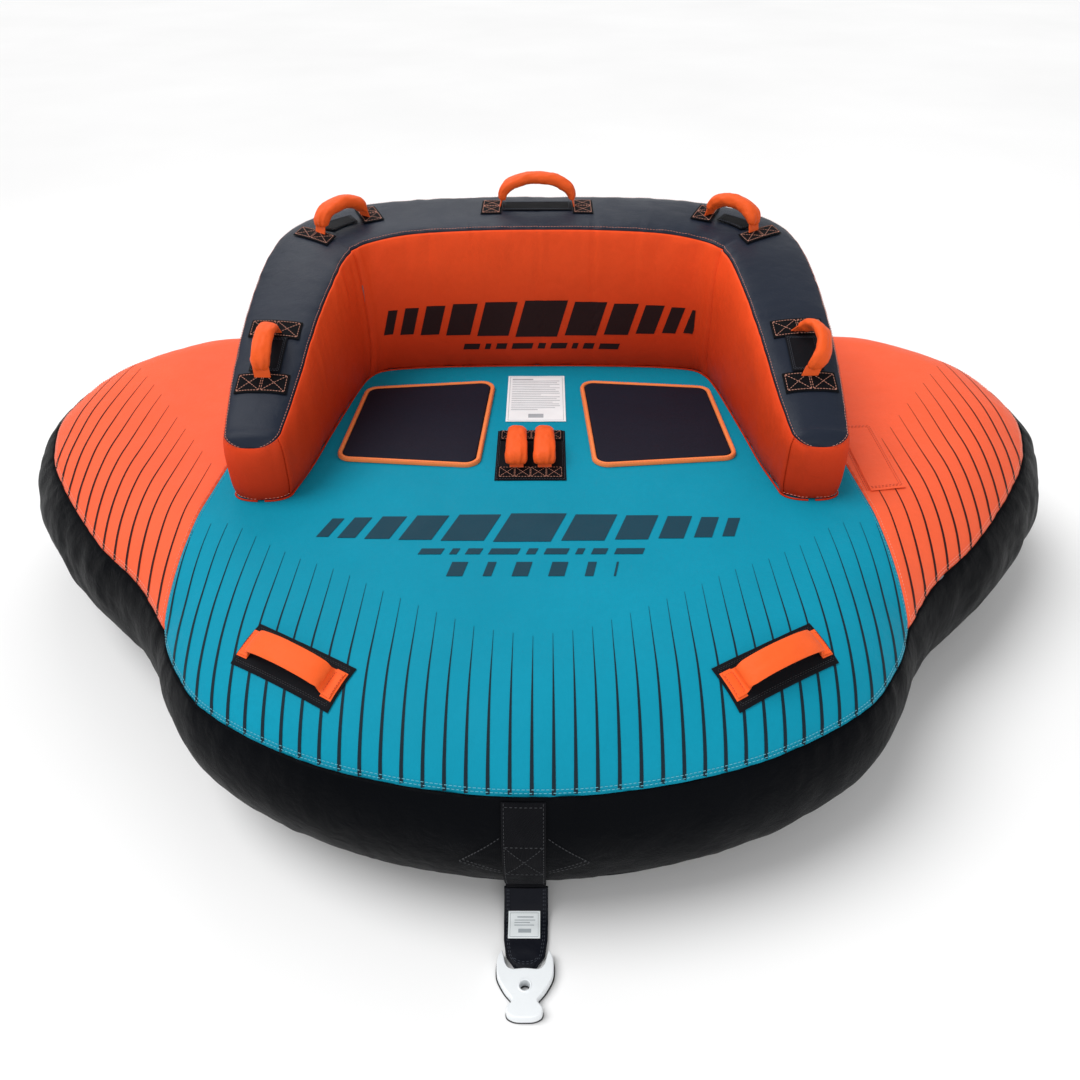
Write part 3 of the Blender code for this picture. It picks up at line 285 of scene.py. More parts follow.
def webbing_mat(name, color, period=0.0026, rough=0.62, spec=0.35):
    m = Nodes(name)
    threads = m.weave(period, 0.35)
    rib = m.ramp(threads, -1.0, 1.0)
    body = m.mix(rib, tuple(c * 0.55 for c in color), tuple(min(1, c * 1.35) for c in color))
    body = m.mix(m.ramp(m.noise(30.0, 3), 0.35, 0.75, 0.0, 0.35), body, tuple(min(1, c * 1.5 + 0.004) for c in color))
    m.link(body, m.shader.inputs["Base Color"])
    m.link(m.ramp(m.noise(60.0, 3), 0.3, 0.7, rough - 0.06, rough + 0.08), m.shader.inputs["Roughness"])
    n = m.bump(threads, 0.5, 0.0006)
    n = m.bump(m.noise(35.0, 3), 0.15, 0.002, n)
    m.link(n, m.shader.inputs["Normal"])
    m.shader.inputs["Sheen Weight"].default_value = 0.0
    m.shader.inputs["Specular IOR Level"].default_value = spec
    m.mat.diffuse_color = (*color, 1)
    return m.mat


def foam_mat(name, color):
    m = Nodes(name)
    grain = m.noise(420.0, 2, 0.6)
    body = m.mix(m.ramp(grain, 0.3, 0.7), tuple(c * 0.75 for c in color), tuple(c * 1.35 for c in color))
    body = m.mix(m.ramp(m.noise(4.0, 4), 0.35, 0.7, 0.0, 0.45), body, tuple(c * 1.5 for c in color))
    m.link(body, m.shader.inputs["Base Color"])
    m.link(m.ramp(m.noise(8.0, 3), 0.3, 0.7, 0.60, 0.76), m.shader.inputs["Roughness"])
    n = m.bump(grain, 0.45, 0.0005)
    n = m.bump(m.noise(9.0, 3), 0.18, 0.004, n)
    m.link(n, m.shader.inputs["Normal"])
    m.shader.inputs["Specular IOR Level"].default_value = 0.09
    m.mat.diffuse_color = (*color, 1)
    return m.mat


def plastic_mat(name, color, rough=0.35, vary=0.04, grain=0.10, coat=0.0):
    m = Nodes(name)
    low, high = m.scaled(color, 1 - vary, 1 + vary)
    body = m.mix(m.ramp(m.noise(18.0, 4), 0.3, 0.7), low, high)
    scuff = m.ramp(m.noise(70.0, 6, 0.7, m.stretch((1, 6, 1), (0.2, 0.1, 0.6))), 0.58, 0.70)
    body = m.mix(m.math("MULTIPLY", scuff, 0.18), body, tuple(c * 0.7 for c in color))
    m.link(body, m.shader.inputs["Base Color"])
    m.link(m.math("ADD", m.ramp(m.noise(30.0, 4), 0.3, 0.7, rough - 0.05, rough + 0.07), m.math("MULTIPLY", scuff, 0.12)), m.shader.inputs["Roughness"])
    m.link(m.bump(m.noise(500.0, 2), grain, 0.0003), m.shader.inputs["Normal"])
    m.shader.inputs["Coat Weight"].default_value = coat
    m.mat.diffuse_color = (*color, 1)
    return m.mat


def thread_mat(name, color):
    m = Nodes(name)
    twist = m.weave(0.0009, 0.78)
    body = m.mix(m.ramp(twist, -1, 1), tuple(c * 0.72 for c in color), tuple(min(1, c * 1.12) for c in color))
    m.link(body, m.shader.inputs["Base Color"])
    m.link(m.ramp(m.noise(200.0, 2), 0.3, 0.7, 0.5, 0.7), m.shader.inputs["Roughness"])
    m.link(m.bump(twist, 0.4, 0.0002), m.shader.inputs["Normal"])
    m.mat.diffuse_color = (*color, 1)
    return m.mat


TEAL_C = (0.0038, 0.262, 0.388)
ORANGE_C = (0.900, 0.085, 0.018)
WING_C = (0.900, 0.118, 0.040)
CHARCOAL_C = (0.0130, 0.0185, 0.0330)
BAND_C = (0.0022, 0.0026, 0.0036)
M_TEAL = cover_fabric("teal_cover_fabric", TEAL_C, 0.52, vary=0.08, sheen=0.0, spec=0.05, wrinkle=0.32)
# foot= paints shade on the orange walls: darker towards their foot on the deck
M_ORANGE = cover_fabric("orange_cover_fabric", ORANGE_C, 0.50, vary=0.08, sheen=0.0, spec=0.07, wrinkle=0.50, foot=(0.42, 0.70, 0.80, (0.40, 0.014, 0.004)))
M_WING = cover_fabric("wing_orange_fabric", WING_C, 0.52, vary=0.07, sheen=0.04, spec=0.16, wrinkle=0.28)
M_SLEEVE = cover_fabric("orange_sleeve_fabric", (0.88, 0.108, 0.015), 0.52, weave=0.0013, vary=0.08, sheen=0.03, spec=0.16, wrinkle=0.45)
M_CHARCOAL = cover_fabric("charcoal_satin_fabric", CHARCOAL_C, 0.36, vary=0.14, sheen=0.0, wrinkle=0.45, spec=0.15)
M_BAND = cover_fabric("black_ballistic_fabric", BAND_C, 0.42, vary=0.20, sheen=0.0, wrinkle=0.75, spec=0.022)
M_BOTTOM = cover_fabric("black_bottom_fabric", (0.006, 0.007, 0.010), 0.60, vary=0.2, sheen=0.0, wrinkle=0.3, spec=0.1)
M_WEB = webbing_mat("black_webbing", (0.0036, 0.0038, 0.0052), spec=0.05)
M_OWEB = cover_fabric("orange_strap_fabric", (0.90, 0.118, 0.020), 0.50, weave=0.0012, vary=0.07, sheen=0.02, spec=0.16, wrinkle=0.40)
M_PAD = foam_mat("dark_foam", (0.0095, 0.0098, 0.0180))
M_NEO = foam_mat("black_neoprene", (0.0042, 0.0044, 0.0062))
M_PIPE = cover_fabric("orange_binding", (0.90, 0.240, 0.070), 0.55, weave=0.0010, vary=0.08, wrinkle=0.25, sheen=0.03, spec=0.14)
M_LABEL = plastic_mat("white_label_film", (0.84, 0.885, 0.90), 0.42, 0.03, 0.06)
M_CONN = plastic_mat("white_nylon", (0.80, 0.83, 0.85), 0.34, 0.03, 0.12)
M_BLACKP = plastic_mat("black_valve_plastic", (0.012, 0.012, 0.014), 0.40, 0.15, 0.2)
M_PVC = plastic_mat("grey_bladder_film", (0.16, 0.17, 0.19), 0.35, 0.08, 0.1)
M_STRIPE = cover_fabric("navy_print", (0.0080, 0.0200, 0.0300), 0.50, vary=0.12, sheen=0.0, spec=0.08)
M_STRIPE_W = cover_fabric("brown_print", (0.0300, 0.0085, 0.0090), 0.50, vary=0.12, sheen=0.0, spec=0.08)
M_PRINT_D = cover_fabric("deck_print", (0.0100, 0.0520, 0.0800), 0.50, vary=0.12, sheen=0.0, spec=0.08)
M_PRINT_R = cover_fabric("backrest_print", (0.0250, 0.0100, 0.0100), 0.50, vary=0.14, sheen=0.0, spec=0.08)
M_INK = plastic_mat("grey_label_ink", (0.38, 0.42, 0.45), 0.5, 0.1, 0.05)
T_BLUE = thread_mat("light_blue_thread", (0.14, 0.50, 0.62))
T_PINK = thread_mat("salmon_thread", (0.95, 0.36, 0.26))
T_ORANGE = thread_mat("orange_thread", (0.88, 0.19, 0.10))
T_DARK = thread_mat("dark_thread", (0.045, 0.055, 0.075))
T_BLACK = thread_mat("black_thread", (0.024, 0.026, 0.031))
T_BAR = thread_mat("faded_orange_thread", (0.56, 0.250, 0.175))


# --------------------------------------------------------------------- mesh helpers
def make(name, verts, faces, mat, body="tube", smooth=38, replaces=(), slot=None):
    mesh = bpy.data.meshes.new(name)
    mesh.from_pydata([tuple(map(float, v)) for v in verts], [], [tuple(int(k) for k in f) for f in faces])
    mesh.validate()
    mesh.update()
    return adopt(name, mesh, mat, body, smooth, replaces, slot)


def adopt(name, mesh, mat, body="tube", smooth=38, replaces=(), slot=None):
    obj = bpy.data.objects.new(name, mesh)
    bpy.context.scene.collection.objects.link(obj)
    mesh.materials.clear()
    mesh.materials.append(mat)
    if smooth:
        mesh.shade_smooth()
        if smooth < 180:
            mesh.set_sharp_from_angle(angle=math.radians(smooth))
    if body:
        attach(obj, body)
    if replaces:
        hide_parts(*replaces)
    return obj


def grid_faces(n, m, wrap=False, base=0, flip=False):
    faces = []
    for i in range(n if wrap else n - 1):
        j = (i + 1) % n
        for k in range(m - 1):
            q = (base + i * m + k, base + j * m + k, base + j * m + k + 1, base + i * m + k + 1)
            faces.append(q[::-1] if flip else q)
    return faces


def closed_sheet(P, N, lift, thick, edge=0.0):
    """A sheet on a grid of points and normals, made a closed slab with its border rolled down by edge."""
    P, N = np.asarray(P, float), np.asarray(N, float)
    n, m = P.shape[:2]
    top = P + N * (lift + thick)
    if edge:
        t = top.copy()
        for sl in ((0, slice(None)), (-1, slice(None)), (slice(None), 0), (slice(None), -1)):
            t[sl] = P[sl] + N[sl] * (lift + thick - edge)
        top = t
    low = P + N * lift
    verts = np.vstack([top.reshape(-1, 3), low.reshape(-1, 3)])
    faces = grid_faces(n, m) + grid_faces(n, m, base=n * m, flip=True)
    border = [i * m for i in range(n)] + [(n - 1) * m + k for k in range(1, m)] + [i * m + m - 1 for i in range(n - 2, -1, -1)] \
        + [k for k in range(m - 2, 0, -1)]
    for a, b in zip(border, border[1:] + border[:1]):
        faces.append((a, b, b + n * m, a + n * m))
    return verts, faces


def tidy(obj):
    bm = bmesh.new()
    bm.from_mesh(obj.data)
    bmesh.ops.recalc_face_normals(bm, faces=bm.faces)
    bm.to_mesh(obj.data)
    bm.free()
    return obj


class Stitches:
    """Raised thread stitches along lines, all in one mesh."""

    def __init__(self):
        self.verts, self.faces = [], []

    def line(self, pts, normals, dash=0.0052, gap=0.0024, width=0.0011, height=0.0007, lift=0.0):
        pts, normals = np.asarray(pts, float), unit(normals)
        run = np.r_[0, np.cumsum(np.linalg.norm(np.diff(pts, axis=0), axis=1))]
        total = run[-1]
        count = max(1, int(total / (dash + gap)))
        pitch = total / count
        for c in range(count):
            s = np.array([c * pitch + pitch * 0.5 - dash / 2, c * pitch + pitch * 0.5 + dash / 2])
            a, b = [np.array([np.interp(q, run, pts[:, k]) for k in range(3)]) for q in s]
            n = unit(np.array([np.interp(s.mean(), run, normals[:, k]) for k in range(3)]))
            t = unit(b - a)
            w = unit(np.cross(n, t)) * width / 2
            base = len(self.verts)
            a, b = a + n * lift, b + n * lift
            for p, sign in ((a, 1), (b, -1)):
                self.verts += [p + w * 0.5, p - w * 0.5]
            mid0, mid1 = a + t * dash * 0.22, b - t * dash * 0.22
            for p in (mid0, mid1):
                self.verts += [p + w, p - w, p + w * 0.55 + n * height, p - w * 0.55 + n * height]
            o = base
            self.faces += [(o, o + 1, o + 7, o + 6), (o, o + 6, o + 4), (o + 1, o + 5, o + 7),
                           (o + 6, o + 7, o + 11, o + 10), (o + 4, o + 6, o + 10, o + 8), (o + 7, o + 5, o + 9, o + 11),
                           (o + 10, o + 11, o + 3, o + 2), (o + 8, o + 10, o + 2), (o + 9, o + 3, o + 11),
                           (o + 1, o, o + 4, o + 5), (o + 5, o + 4, o + 8, o + 9), (o + 9, o + 8, o + 2, o + 3)]

    def build(self, name, mat, body="tube"):
        if not self.verts:
            return None
        return make(name, self.verts, self.faces, mat, body, smooth=60)


# ----------------------------------------------------------------------- hull shape
def outline():
    bow = smooth_curve([(-BOW[1][0], BOW[1][1])] + BOW, 400)
    bow = bow[bow[:, 0] >= -1e-9]
    wing = smooth_curve(WING + [(-WING[-2][0], WING[-2][1])], 400)
    wing = wing[wing[:, 0] >= -1e-9]

    def even(curve, steps):
        run = np.r_[0, np.cumsum(np.linalg.norm(np.diff(curve, axis=0), axis=1))]
        want = np.linspace(0, run[-1], steps + 1)
        return np.stack([np.interp(want, run, curve[:, c]) for c in range(2)], axis=1)

    bow, wing = even(bow, STEPS[0]), even(wing, STEPS[1])
    bow[0, 0] = wing[-1, 0] = 0.0
    half = np.vstack([bow, wing[1:]])
    place = np.linspace(0, 1, len(half))
    whole = np.vstack([half, half[-2:0:-1] * (-1, 1)])
    place = np.r_[place, place[-2:0:-1]]
    tangent = np.roll(whole, -3, 0) - np.roll(whole, 3, 0)
    normal = unit(np.stack([tangent[:, 1], -tangent[:, 0]], axis=1))
    return whole, normal, place


OUT, OUTN, PLACE = outline()
REACH = np.linalg.norm(OUT, axis=1)
UNIT = OUT / REACH[:, None]
K = 1.0 / np.maximum((UNIT * OUTN).sum(1), 0.62)
SEAM = np.interp(PLACE, [p for p, _ in SEAM_ANGLE], [a for _, a in SEAM_ANGLE])
RUN = np.r_[0, np.cumsum(np.linalg.norm(np.diff(OUT, axis=0), axis=1))]
NOTCH = STEPS[0]
_phi = np.arctan2(OUT[:, 0], -OUT[:, 1])
_order = np.argsort(_phi)
PHI = _phi[_order]


def around(x, y):
    """Reach, width factor, seam angle and place on the outline, seen from the hull's centre towards a point."""
    phi = np.arctan2(x, -np.asarray(y))

    def look(values):
        return np.interp(phi, PHI, values[_order], period=2 * math.pi)
    return look(REACH), look(K), look(SEAM), look(PLACE)


def wing_crown(x, y):
    """The wings stand slightly proud of the deck towards the stern."""
    x, y = np.abs(x), np.asarray(y)
    r, k, seam, place = around(x, y)
    rho = np.hypot(x, y)
    inside = smoothstep(0.05, 0.30, (r - rho) / k)
    return 0.011 * smoothstep(0.80, 0.94, x) * smoothstep(0.02, 0.30, y) * inside


def top_angle(x, y):
    r, k, seam, place = around(x, y)
    inset = (r - np.hypot(x, y)) / k / EDGE_R
    return np.degrees(np.arccos(np.clip(1 - inset, 0.0, 1.0))), seam, place


def top_z(x, y):
    x, y = np.asarray(x, float), np.asarray(y, float)
    r, k, seam, place = around(x, y)
    c = np.clip(1 - (r - np.hypot(x, y)) / k / EDGE_R, 0, 1)
    return EDGE_H + (DECK - EDGE_H) * np.sqrt(1 - c * c)


def top_normal(x, y, h=0.004):
    dx = (top_z(x + h, y) - top_z(x - h, y)) / (2 * h)
    dy = (top_z(x, y + h) - top_z(x, y - h)) / (2 * h)
    return unit(np.stack([-dx, -dy, np.ones_like(dx)], axis=-1))


def pucker(p, seam_distance, amount=0.0013):
    """Small gathers that run across a sewn edge and die out inside the panel."""
    near = np.exp(-np.maximum(seam_distance, 0) / 0.035)
    q = np.asarray(p)
    return amount * near * fractal(q * (38, 38, 12), 3, 2) - 0.0022 * np.exp(-np.maximum(seam_distance, 0) / 0.006)


def top_move(x, y):
    """Outward movement of the hull's upper covers: gathers at the seam, a wavy deck and crowned wings."""
    angle, seam, place = top_angle(x, y)
    d = np.radians(angle - seam) * EDGE_R
    z = top_z(x, y)
    p = np.stack([x, y, z], axis=-1)
    on_wing = smoothstep(0.0, 0.02, wing_side(x, y))
    move = pucker(p, d, 0.0012 + 0.0006 * on_wing)
    move = move - 0.0010 * (0.5 + 0.5 * fractal(p * 7, 21, 2)) * smoothstep(0.03, 0.10, d)
    move = move + wing_crown(x, y)
    seam_side = np.abs(wing_side(x, y))
    return move - 0.0016 * np.exp(-(seam_side / 0.006) ** 2)


def seam_foot():
    i = NOTCH
    a = math.radians(SEAM[i])
    inset = EDGE_R * (1 - math.cos(a)) * K[i]
    return UNIT[i] * (REACH[i] - inset)


FOOT = seam_foot()
HEAD = np.array([0.676, 0.0])
_line = HEAD - FOOT
WING_WAY = unit(np.array([_line[1], -_line[0]]))
if WING_WAY[0] < 0:
    WING_WAY = -WING_WAY


def wing_side(x, y):
    """Distance past the seam between deck and wing, positive on the wing."""
    return (np.abs(x) - FOOT[0]) * WING_WAY[0] + (np.asarray(y) - FOOT[1]) * WING_WAY[1]


def top_grid():
    rows = []
    for t in np.linspace(0, 1, 19):
        angle = np.radians(SEAM + (90 - SEAM) * t)
        inset = EDGE_R * (1 - np.cos(angle)) * K
        q = UNIT * (REACH - inset)[:, None]
        rows.append(np.column_stack([q, EDGE_H + np.sin(angle) * (DECK - EDGE_H)]))
    for share in np.r_[np.linspace(0.965, 0.20, 22), 0.08]:
        q = UNIT * ((REACH - EDGE_R * K) * share)[:, None]
        rows.append(np.column_stack([q, np.full(len(q), DECK)]))
    return np.stack(rows, axis=1)


def cut_panel(side):
    A = top_grid()
    n, m = A.shape[:2]
    bm = bmesh.new()
    vs = [bm.verts.new(v) for v in A.reshape(-1, 3)]
    hub = bm.verts.new((0, 0, DECK))
    for f in grid_faces(n, m, wrap=True):
        bm.faces.new([vs[k] for k in f])
    for i in range(n):
        bm.faces.new([vs[i * m + m - 1], vs[((i + 1) % n) * m + m - 1], hub])
    for s in (1, -1):
        for off in (-0.022, -0.009, 0.0, 0.009, 0.022):
            bmesh.ops.bisect_plane(bm, geom=bm.verts[:] + bm.edges[:] + bm.faces[:], dist=2e-5,
                                   plane_co=((FOOT[0] + WING_WAY[0] * off) * s, FOOT[1] + WING_WAY[1] * off, 0),
                                   plane_no=(WING_WAY[0] * s, WING_WAY[1], 0))
    drop = []
    for f in bm.faces:
        c = f.calc_center_median()
        where = 0
        if float(wing_side(np.array(c.x), np.array(c.y))) > 0:
            where = 1 if c.x > 0 else -1
        if where != side:
            drop.append(f)
    bmesh.ops.delete(bm, geom=drop, context="FACES")
    bmesh.ops.delete(bm, geom=[v for v in bm.verts if not v.link_faces], context="VERTS")
    bmesh.ops.recalc_face_normals(bm, faces=bm.faces)
    up = sum(f.normal.z for f in bm.faces)
    if up < 0:
        bmesh.ops.reverse_faces(bm, faces=bm.faces)
    co = np.array([v.co for v in bm.verts])
    no = top_normal(co[:, 0], co[:, 1])
    co = co + no * top_move(co[:, 0], co[:, 1])[:, None]
    for v, c in zip(bm.verts, co):
        v.co = c
    return bm


def thicken(obj, t=0.0018):
    mod = obj.modifiers.new("fabric", "SOLIDIFY")
    mod.thickness = t
    mod.offset = -1
    mod.use_even_offset = False
    return obj


for side, name, mat, slot_name in ((0, "deck_cover", M_TEAL, "teal_fabric"), (1, "wing_cover_left", M_WING, "wing_orange_fabric"),
                                   (-1, "wing_cover_right", M_WING, "wing_orange_fabric")):
    bm = cut_panel(side)
    mesh = bpy.data.meshes.new(name + "_cloth")
    bm.to_mesh(mesh)
    bm.free()
    thicken(adopt(name + "_cloth", mesh, mat, replaces=(name,), slot=slot_name, smooth=180))


# ------------------------------------------------------------- black side band and bottom
def lower_grid(angles_low, angles_high, rows):
    out = []
    for t in np.linspace(0, 1, rows):
        angle = np.radians(angles_low + (angles_high - angles_low) * t)
        inset = EDGE_R * (1 - np.cos(angle)) * K
        q = UNIT * (REACH - inset)[:, None]
        z = np.where(angle > 0, EDGE_H + np.sin(angle) * (DECK - EDGE_H), EDGE_H + np.sin(angle) * EDGE_H)
        out.append(np.column_stack([q, z]))
    return np.stack(out, axis=1)


def grid_normals(A, wrap=True):
    du = np.roll(A, -1, 0) - np.roll(A, 1, 0)
    if not wrap:
        du[0], du[-1] = A[1] - A[0], A[-1] - A[-2]
    dv = np.gradient(A, axis=1)
    return unit(np.cross(du, dv))


LOW = np.full(len(OUT), LOW_SEAM)
A = lower_grid(LOW, SEAM, 34)
NRM = grid_normals(A)
d_top = np.radians(SEAM)[:, None] * EDGE_R * (1 - np.linspace(LOW_SEAM, 1, 34)[None, :] * 0) * (1 - np.linspace(0, 1, 34))[None, :]
span = np.radians(SEAM[:, None] - LOW_SEAM) * EDGE_R
t = np.linspace(0, 1, 34)[None, :]
d_top, d_low = span * (1 - t), span * t
RUNS = np.repeat(RUN[:, None], 34, axis=1)
side_y = np.clip((np.abs(OUT[:, 0]) - 0.60) / 0.3, 0, 1)[:, None]
flat = np.stack([RUNS / 0.030, d_top / 0.22, np.zeros_like(RUNS)], axis=-1).reshape(-1, 3)
flat2 = np.stack([RUNS / 0.075, d_top / 0.10, np.zeros_like(RUNS) + 4], axis=-1).reshape(-1, 3)
flat3 = np.stack([RUNS / 0.016, d_top / 0.07, np.zeros_like(RUNS) + 9], axis=-1).reshape(-1, 3)
loop_fade = np.minimum(1.0, np.minimum(RUNS, RUN[-1] - RUNS) / 0.05)
fold = fractal(flat, 5, 2).reshape(RUNS.shape)
slack = fractal(flat2, 9, 3).reshape(RUNS.shape)
tiny = fractal(flat3, 13, 2).reshape(RUNS.shape)
move = loop_fade * (0.0022 * fold * np.exp(-d_top / 0.07) + 0.0012 * tiny * np.exp(-d_top / 0.03)
                    + (0.0016 + 0.0040 * side_y) * slack * np.clip(d_top / 0.06, 0, 1) * 1.0
                    + 0.0020 * fold * np.exp(-d_low / 0.05))
move = move - 0.0022 * np.exp(-d_top / 0.006) - 0.0020 * np.exp(-d_low / 0.006)
A = A + NRM * move[..., None]
obj = make("side_band_cloth", A.reshape(-1, 3), grid_faces(len(OUT), 34, wrap=True), M_BAND, replaces=("side_band",), slot="black_fabric", smooth=180)
thicken(tidy(obj))

rows = [lower_grid(np.full(len(OUT), -90.0), LOW, 12)]
flatA = [np.column_stack([UNIT * ((REACH - EDGE_R * K) * s)[:, None], np.zeros(len(OUT))]) for s in (0.10, 0.4, 0.7, 0.9)]
B = np.concatenate([np.stack(flatA, axis=1), rows[0]], axis=1)
NB = grid_normals(B)
m = B.shape[1]
up = B[..., 2] > 0.02
wave = fractal(np.stack([np.repeat(RUN[:, None], m, 1) / 0.05, B[..., 2] / 0.05, np.zeros((len(OUT), m))], -1).reshape(-1, 3), 31, 2).reshape(len(OUT), m)
B = B + NB * (0.0016 * wave * up * loop_fade[:, :1])[..., None]
faces = grid_faces(len(OUT), m, wrap=True) + [tuple(i * m for i in range(len(OUT)))[::-1]]
obj = make("bottom_cover_cloth", B.reshape(-1, 3), faces, M_BOTTOM, replaces=("bottom_cover",), slot="black_fabric", smooth=180)
thicken(tidy(obj))


# ------------------------------------------------------ printed stripes and the hull's stitching
def on_top(x, y, lift):
    x, y = np.asarray(x, float), np.asarray(y, float)
    n = top_normal(x, y)
    p = np.stack([x, y, top_z(x, y)], axis=-1)
    return p + n * (top_move(x, y)[..., None] + lift), n


def print_strip(store, xs, ys, half, lift=0.0009, thick=0.0004):
    """A flat closed strip along a line on the hull, half wide on each side across X."""
    left, n0 = on_top(xs - half, ys, lift)
    right, n1 = on_top(xs + half, ys, lift)
    base = len(store[0])
    k = len(xs)
    for i in range(k):
        store[0] += [left[i] - n0[i] * thick, right[i] - n1[i] * thick, right[i], left[i]]
    store[1].append((base, base + 1, base + 2, base + 3))
    for i in range(k - 1):
        for c in range(4):
            a, b = base + i * 4 + c, base + i * 4 + (c + 1) % 4
            store[1].append((a, a + 4, b + 4, b))
    o = base + (k - 1) * 4
    store[1].append((o + 3, o + 2, o + 1, o))


DECK_ENDS_X = [0.0, 0.094, 0.204, 0.282, 0.365, 0.447, 0.515, 0.575, 0.61, 0.80]
DECK_ENDS_Y = [-0.540, -0.520, -0.462, -0.417, -0.362, -0.325, -0.282, -0.232, -0.210, -0.200]
deck_store, wing_store = [[], []], [[], []]
for k in range(-21, 22):
    x0 = -0.002 + 0.0342 * k
    y_end = float(np.interp(abs(x0), DECK_ENDS_X, DECK_ENDS_Y))
    ys = np.arange(y_end, -0.85, -0.0015)
    xs = np.full(len(ys), x0) + 0.010 * np.sign(x0) * smoothstep(0.35, 0.7, abs(x0)) * 0
    angle, seam, place = top_angle(xs, ys)
    ok = (angle > seam + 0.5) & (wing_side(xs, ys) < -0.004) & (np.hypot(xs, ys) < around(xs, ys)[0])
    if ok.sum() < 20:
        continue
    first = int(np.argmax(ok))
    stop = first + int(np.argmax(~ok[first:])) if (~ok[first:]).any() else len(ys)
    xs, ys = xs[first:stop], ys[first:stop]
    if len(xs) < 20:
        continue
    pick = np.unique(np.linspace(0, len(xs) - 1, max(6, len(xs) // 4)).astype(int))
    xs, ys = xs[pick], ys[pick]
    run = np.r_[0, np.cumsum(np.linalg.norm(np.diff(on_top(xs, ys, 0)[0], axis=0), axis=1))]
    share = (y_end - ys) / max(0.20, y_end - ys[-1])
    half = 0.00022 + 0.0029 * np.clip(share, 0, 1) ** 1.25 * (run[-1] / 0.28 if run[-1] < 0.28 else 1.0)
    print_strip(deck_store, xs, ys, half)
for s in (1, -1):
    for k in range(13):
        x0 = 0.690 + 0.0357 * k
        y_end = min(-0.02 + (x0 - 0.0 - 0.700) * 1.40, 0.52)
        ys = np.arange(y_end, -0.45, -0.0015)
        lean = 0.018 * (ys + 0.42) / 0.8
        xs = x0 - lean
        angle, seam, place = top_angle(xs, ys)
        ok = (angle > seam + 0.5) & (wing_side(xs, ys) > 0.004) & (np.hypot(xs, ys) < around(xs, ys)[0])
        if ok.sum() < 20:
            continue
        first = int(np.argmax(ok))
        stop = first + int(np.argmax(~ok[first:])) if (~ok[first:]).any() else len(ys)
        xs, ys = xs[first:stop], ys[first:stop]
        if len(xs) < 20:
            continue
        pick = np.unique(np.linspace(0, len(xs) - 1, max(6, len(xs) // 4)).astype(int))
        xs, ys = xs[pick], ys[pick]
        half = 0.00022 + 0.0026 * np.linspace(0, 1, len(xs)) ** 1.25
        print_strip(wing_store, s * xs, ys, half)
tidy(make("deck_stripes", *deck_store, M_STRIPE, smooth=0, slot="teal_fabric"))
tidy(make("wing_stripes", *wing_store, M_STRIPE_W, smooth=0, slot="wing_orange_fabric"))

blue, pink = Stitches(), Stitches()
for offset in (0.0065, 0.0125):
    angle = SEAM + np.degrees(offset / EDGE_R)
    q = UNIT * (REACH - EDGE_R * (1 - np.cos(np.radians(angle))) * K)[:, None]
    p, n = on_top(q[:, 0], q[:, 1], 0.0006)
    on_wing = wing_side(q[:, 0], q[:, 1]) > 0
    idx = np.arange(len(OUT))
    bow = np.r_[idx[-(NOTCH - 1):], idx[:NOTCH]]
    blue.line(p[bow], n[bow])
    pink.line(p[NOTCH + 2:-(NOTCH + 1)], n[NOTCH + 2:-(NOTCH + 1)])
for s in (1, -1):
    for off, bag in ((0.0055, pink), (-0.0055, blue)):
        t = np.linspace(0.02, 1.55, 120)
        q = FOOT + _line * t[:, None] + WING_WAY * off
        keep = q[:, 1] < 0.70
        p, n = on_top(s * q[keep, 0], q[keep, 1], 0.0006)
        bag.line(p, n, width=0.0008)
blue.build("hull_seam_stitches_blue", T_BLUE)
pink.build("hull_seam_stitches_salmon", T_PINK)


# ------------------------------------------------------------------------ backrest
def crown_of(width):
    return 0.008 + 0.035 * width


def rest_rows(count=130):
    fine = smooth_curve(REST + [(-REST[-2][0], REST[-2][1], -REST[-2][2], REST[-2][3], REST[-2][4])], 900)
    fine = fine[(fine[:, 0] + fine[:, 2]) >= -1e-9]
    middle = (fine[:, :2] + fine[:, 2:4]) / 2
    run = np.r_[0, np.cumsum(np.linalg.norm(np.diff(middle, axis=0), axis=1))]
    want = np.linspace(0, run[-1], count + 1)
    body = np.stack([np.interp(want, run, fine[:, c]) for c in range(5)], axis=1)
    body[-1, 0] = body[-1, 2] = 0.0
    ix, iy, ox, oy, top = body[0]
    nose = []
    for a in np.linspace(86, 6, 15):
        tau = math.sin(math.radians(a))
        w = (1 - tau * tau) ** (1 / 2.6)
        mid, half = (ix + ox) / 2, (ox - ix) / 2 * w
        y = REST[0][1] - 0.029 * tau
        nose.append((mid - half, y, mid + half, y, top - 0.016 * tau ** 1.9, math.sqrt(max(0.0, 1 - tau ** 2.2))))
    body = np.column_stack([body, np.ones(len(body))])
    return np.vstack([np.array(nose), body])


HALF_ROWS = rest_rows()
FULL = np.vstack([HALF_ROWS, HALF_ROWS[-2::-1] * (-1, 1, -1, 1, 1, 1)])
R_IN, R_OUT, R_EDGE, R_CROWN = FULL[:, 0:2], FULL[:, 2:4], FULL[:, 4], FULL[:, 5]
R_MID = (R_IN + R_OUT) / 2
n_rest = len(FULL)
loop = np.vstack([R_OUT[::-1], R_IN])            # outer side from the -X arm's front round to the +X arm's front, then the inner side back
_t = np.roll(loop, -1, 0) - np.roll(loop, 1, 0)
_n = unit(np.stack([_t[:, 1], -_t[:, 0]], axis=1))
_centre = np.vstack([R_MID[::-1], R_MID])
if ((loop - _centre) * _n).sum() < 0:
    _n = -_n
for _ in range(3):
    _n = unit(np.roll(_n, 1, 0) + 2 * _n + np.roll(_n, -1, 0))
N_OUT, N_IN = _n[:n_rest][::-1], _n[n_rest:]
inner_run = np.r_[0, np.cumsum(np.linalg.norm(np.diff(R_IN, axis=0), axis=1))]
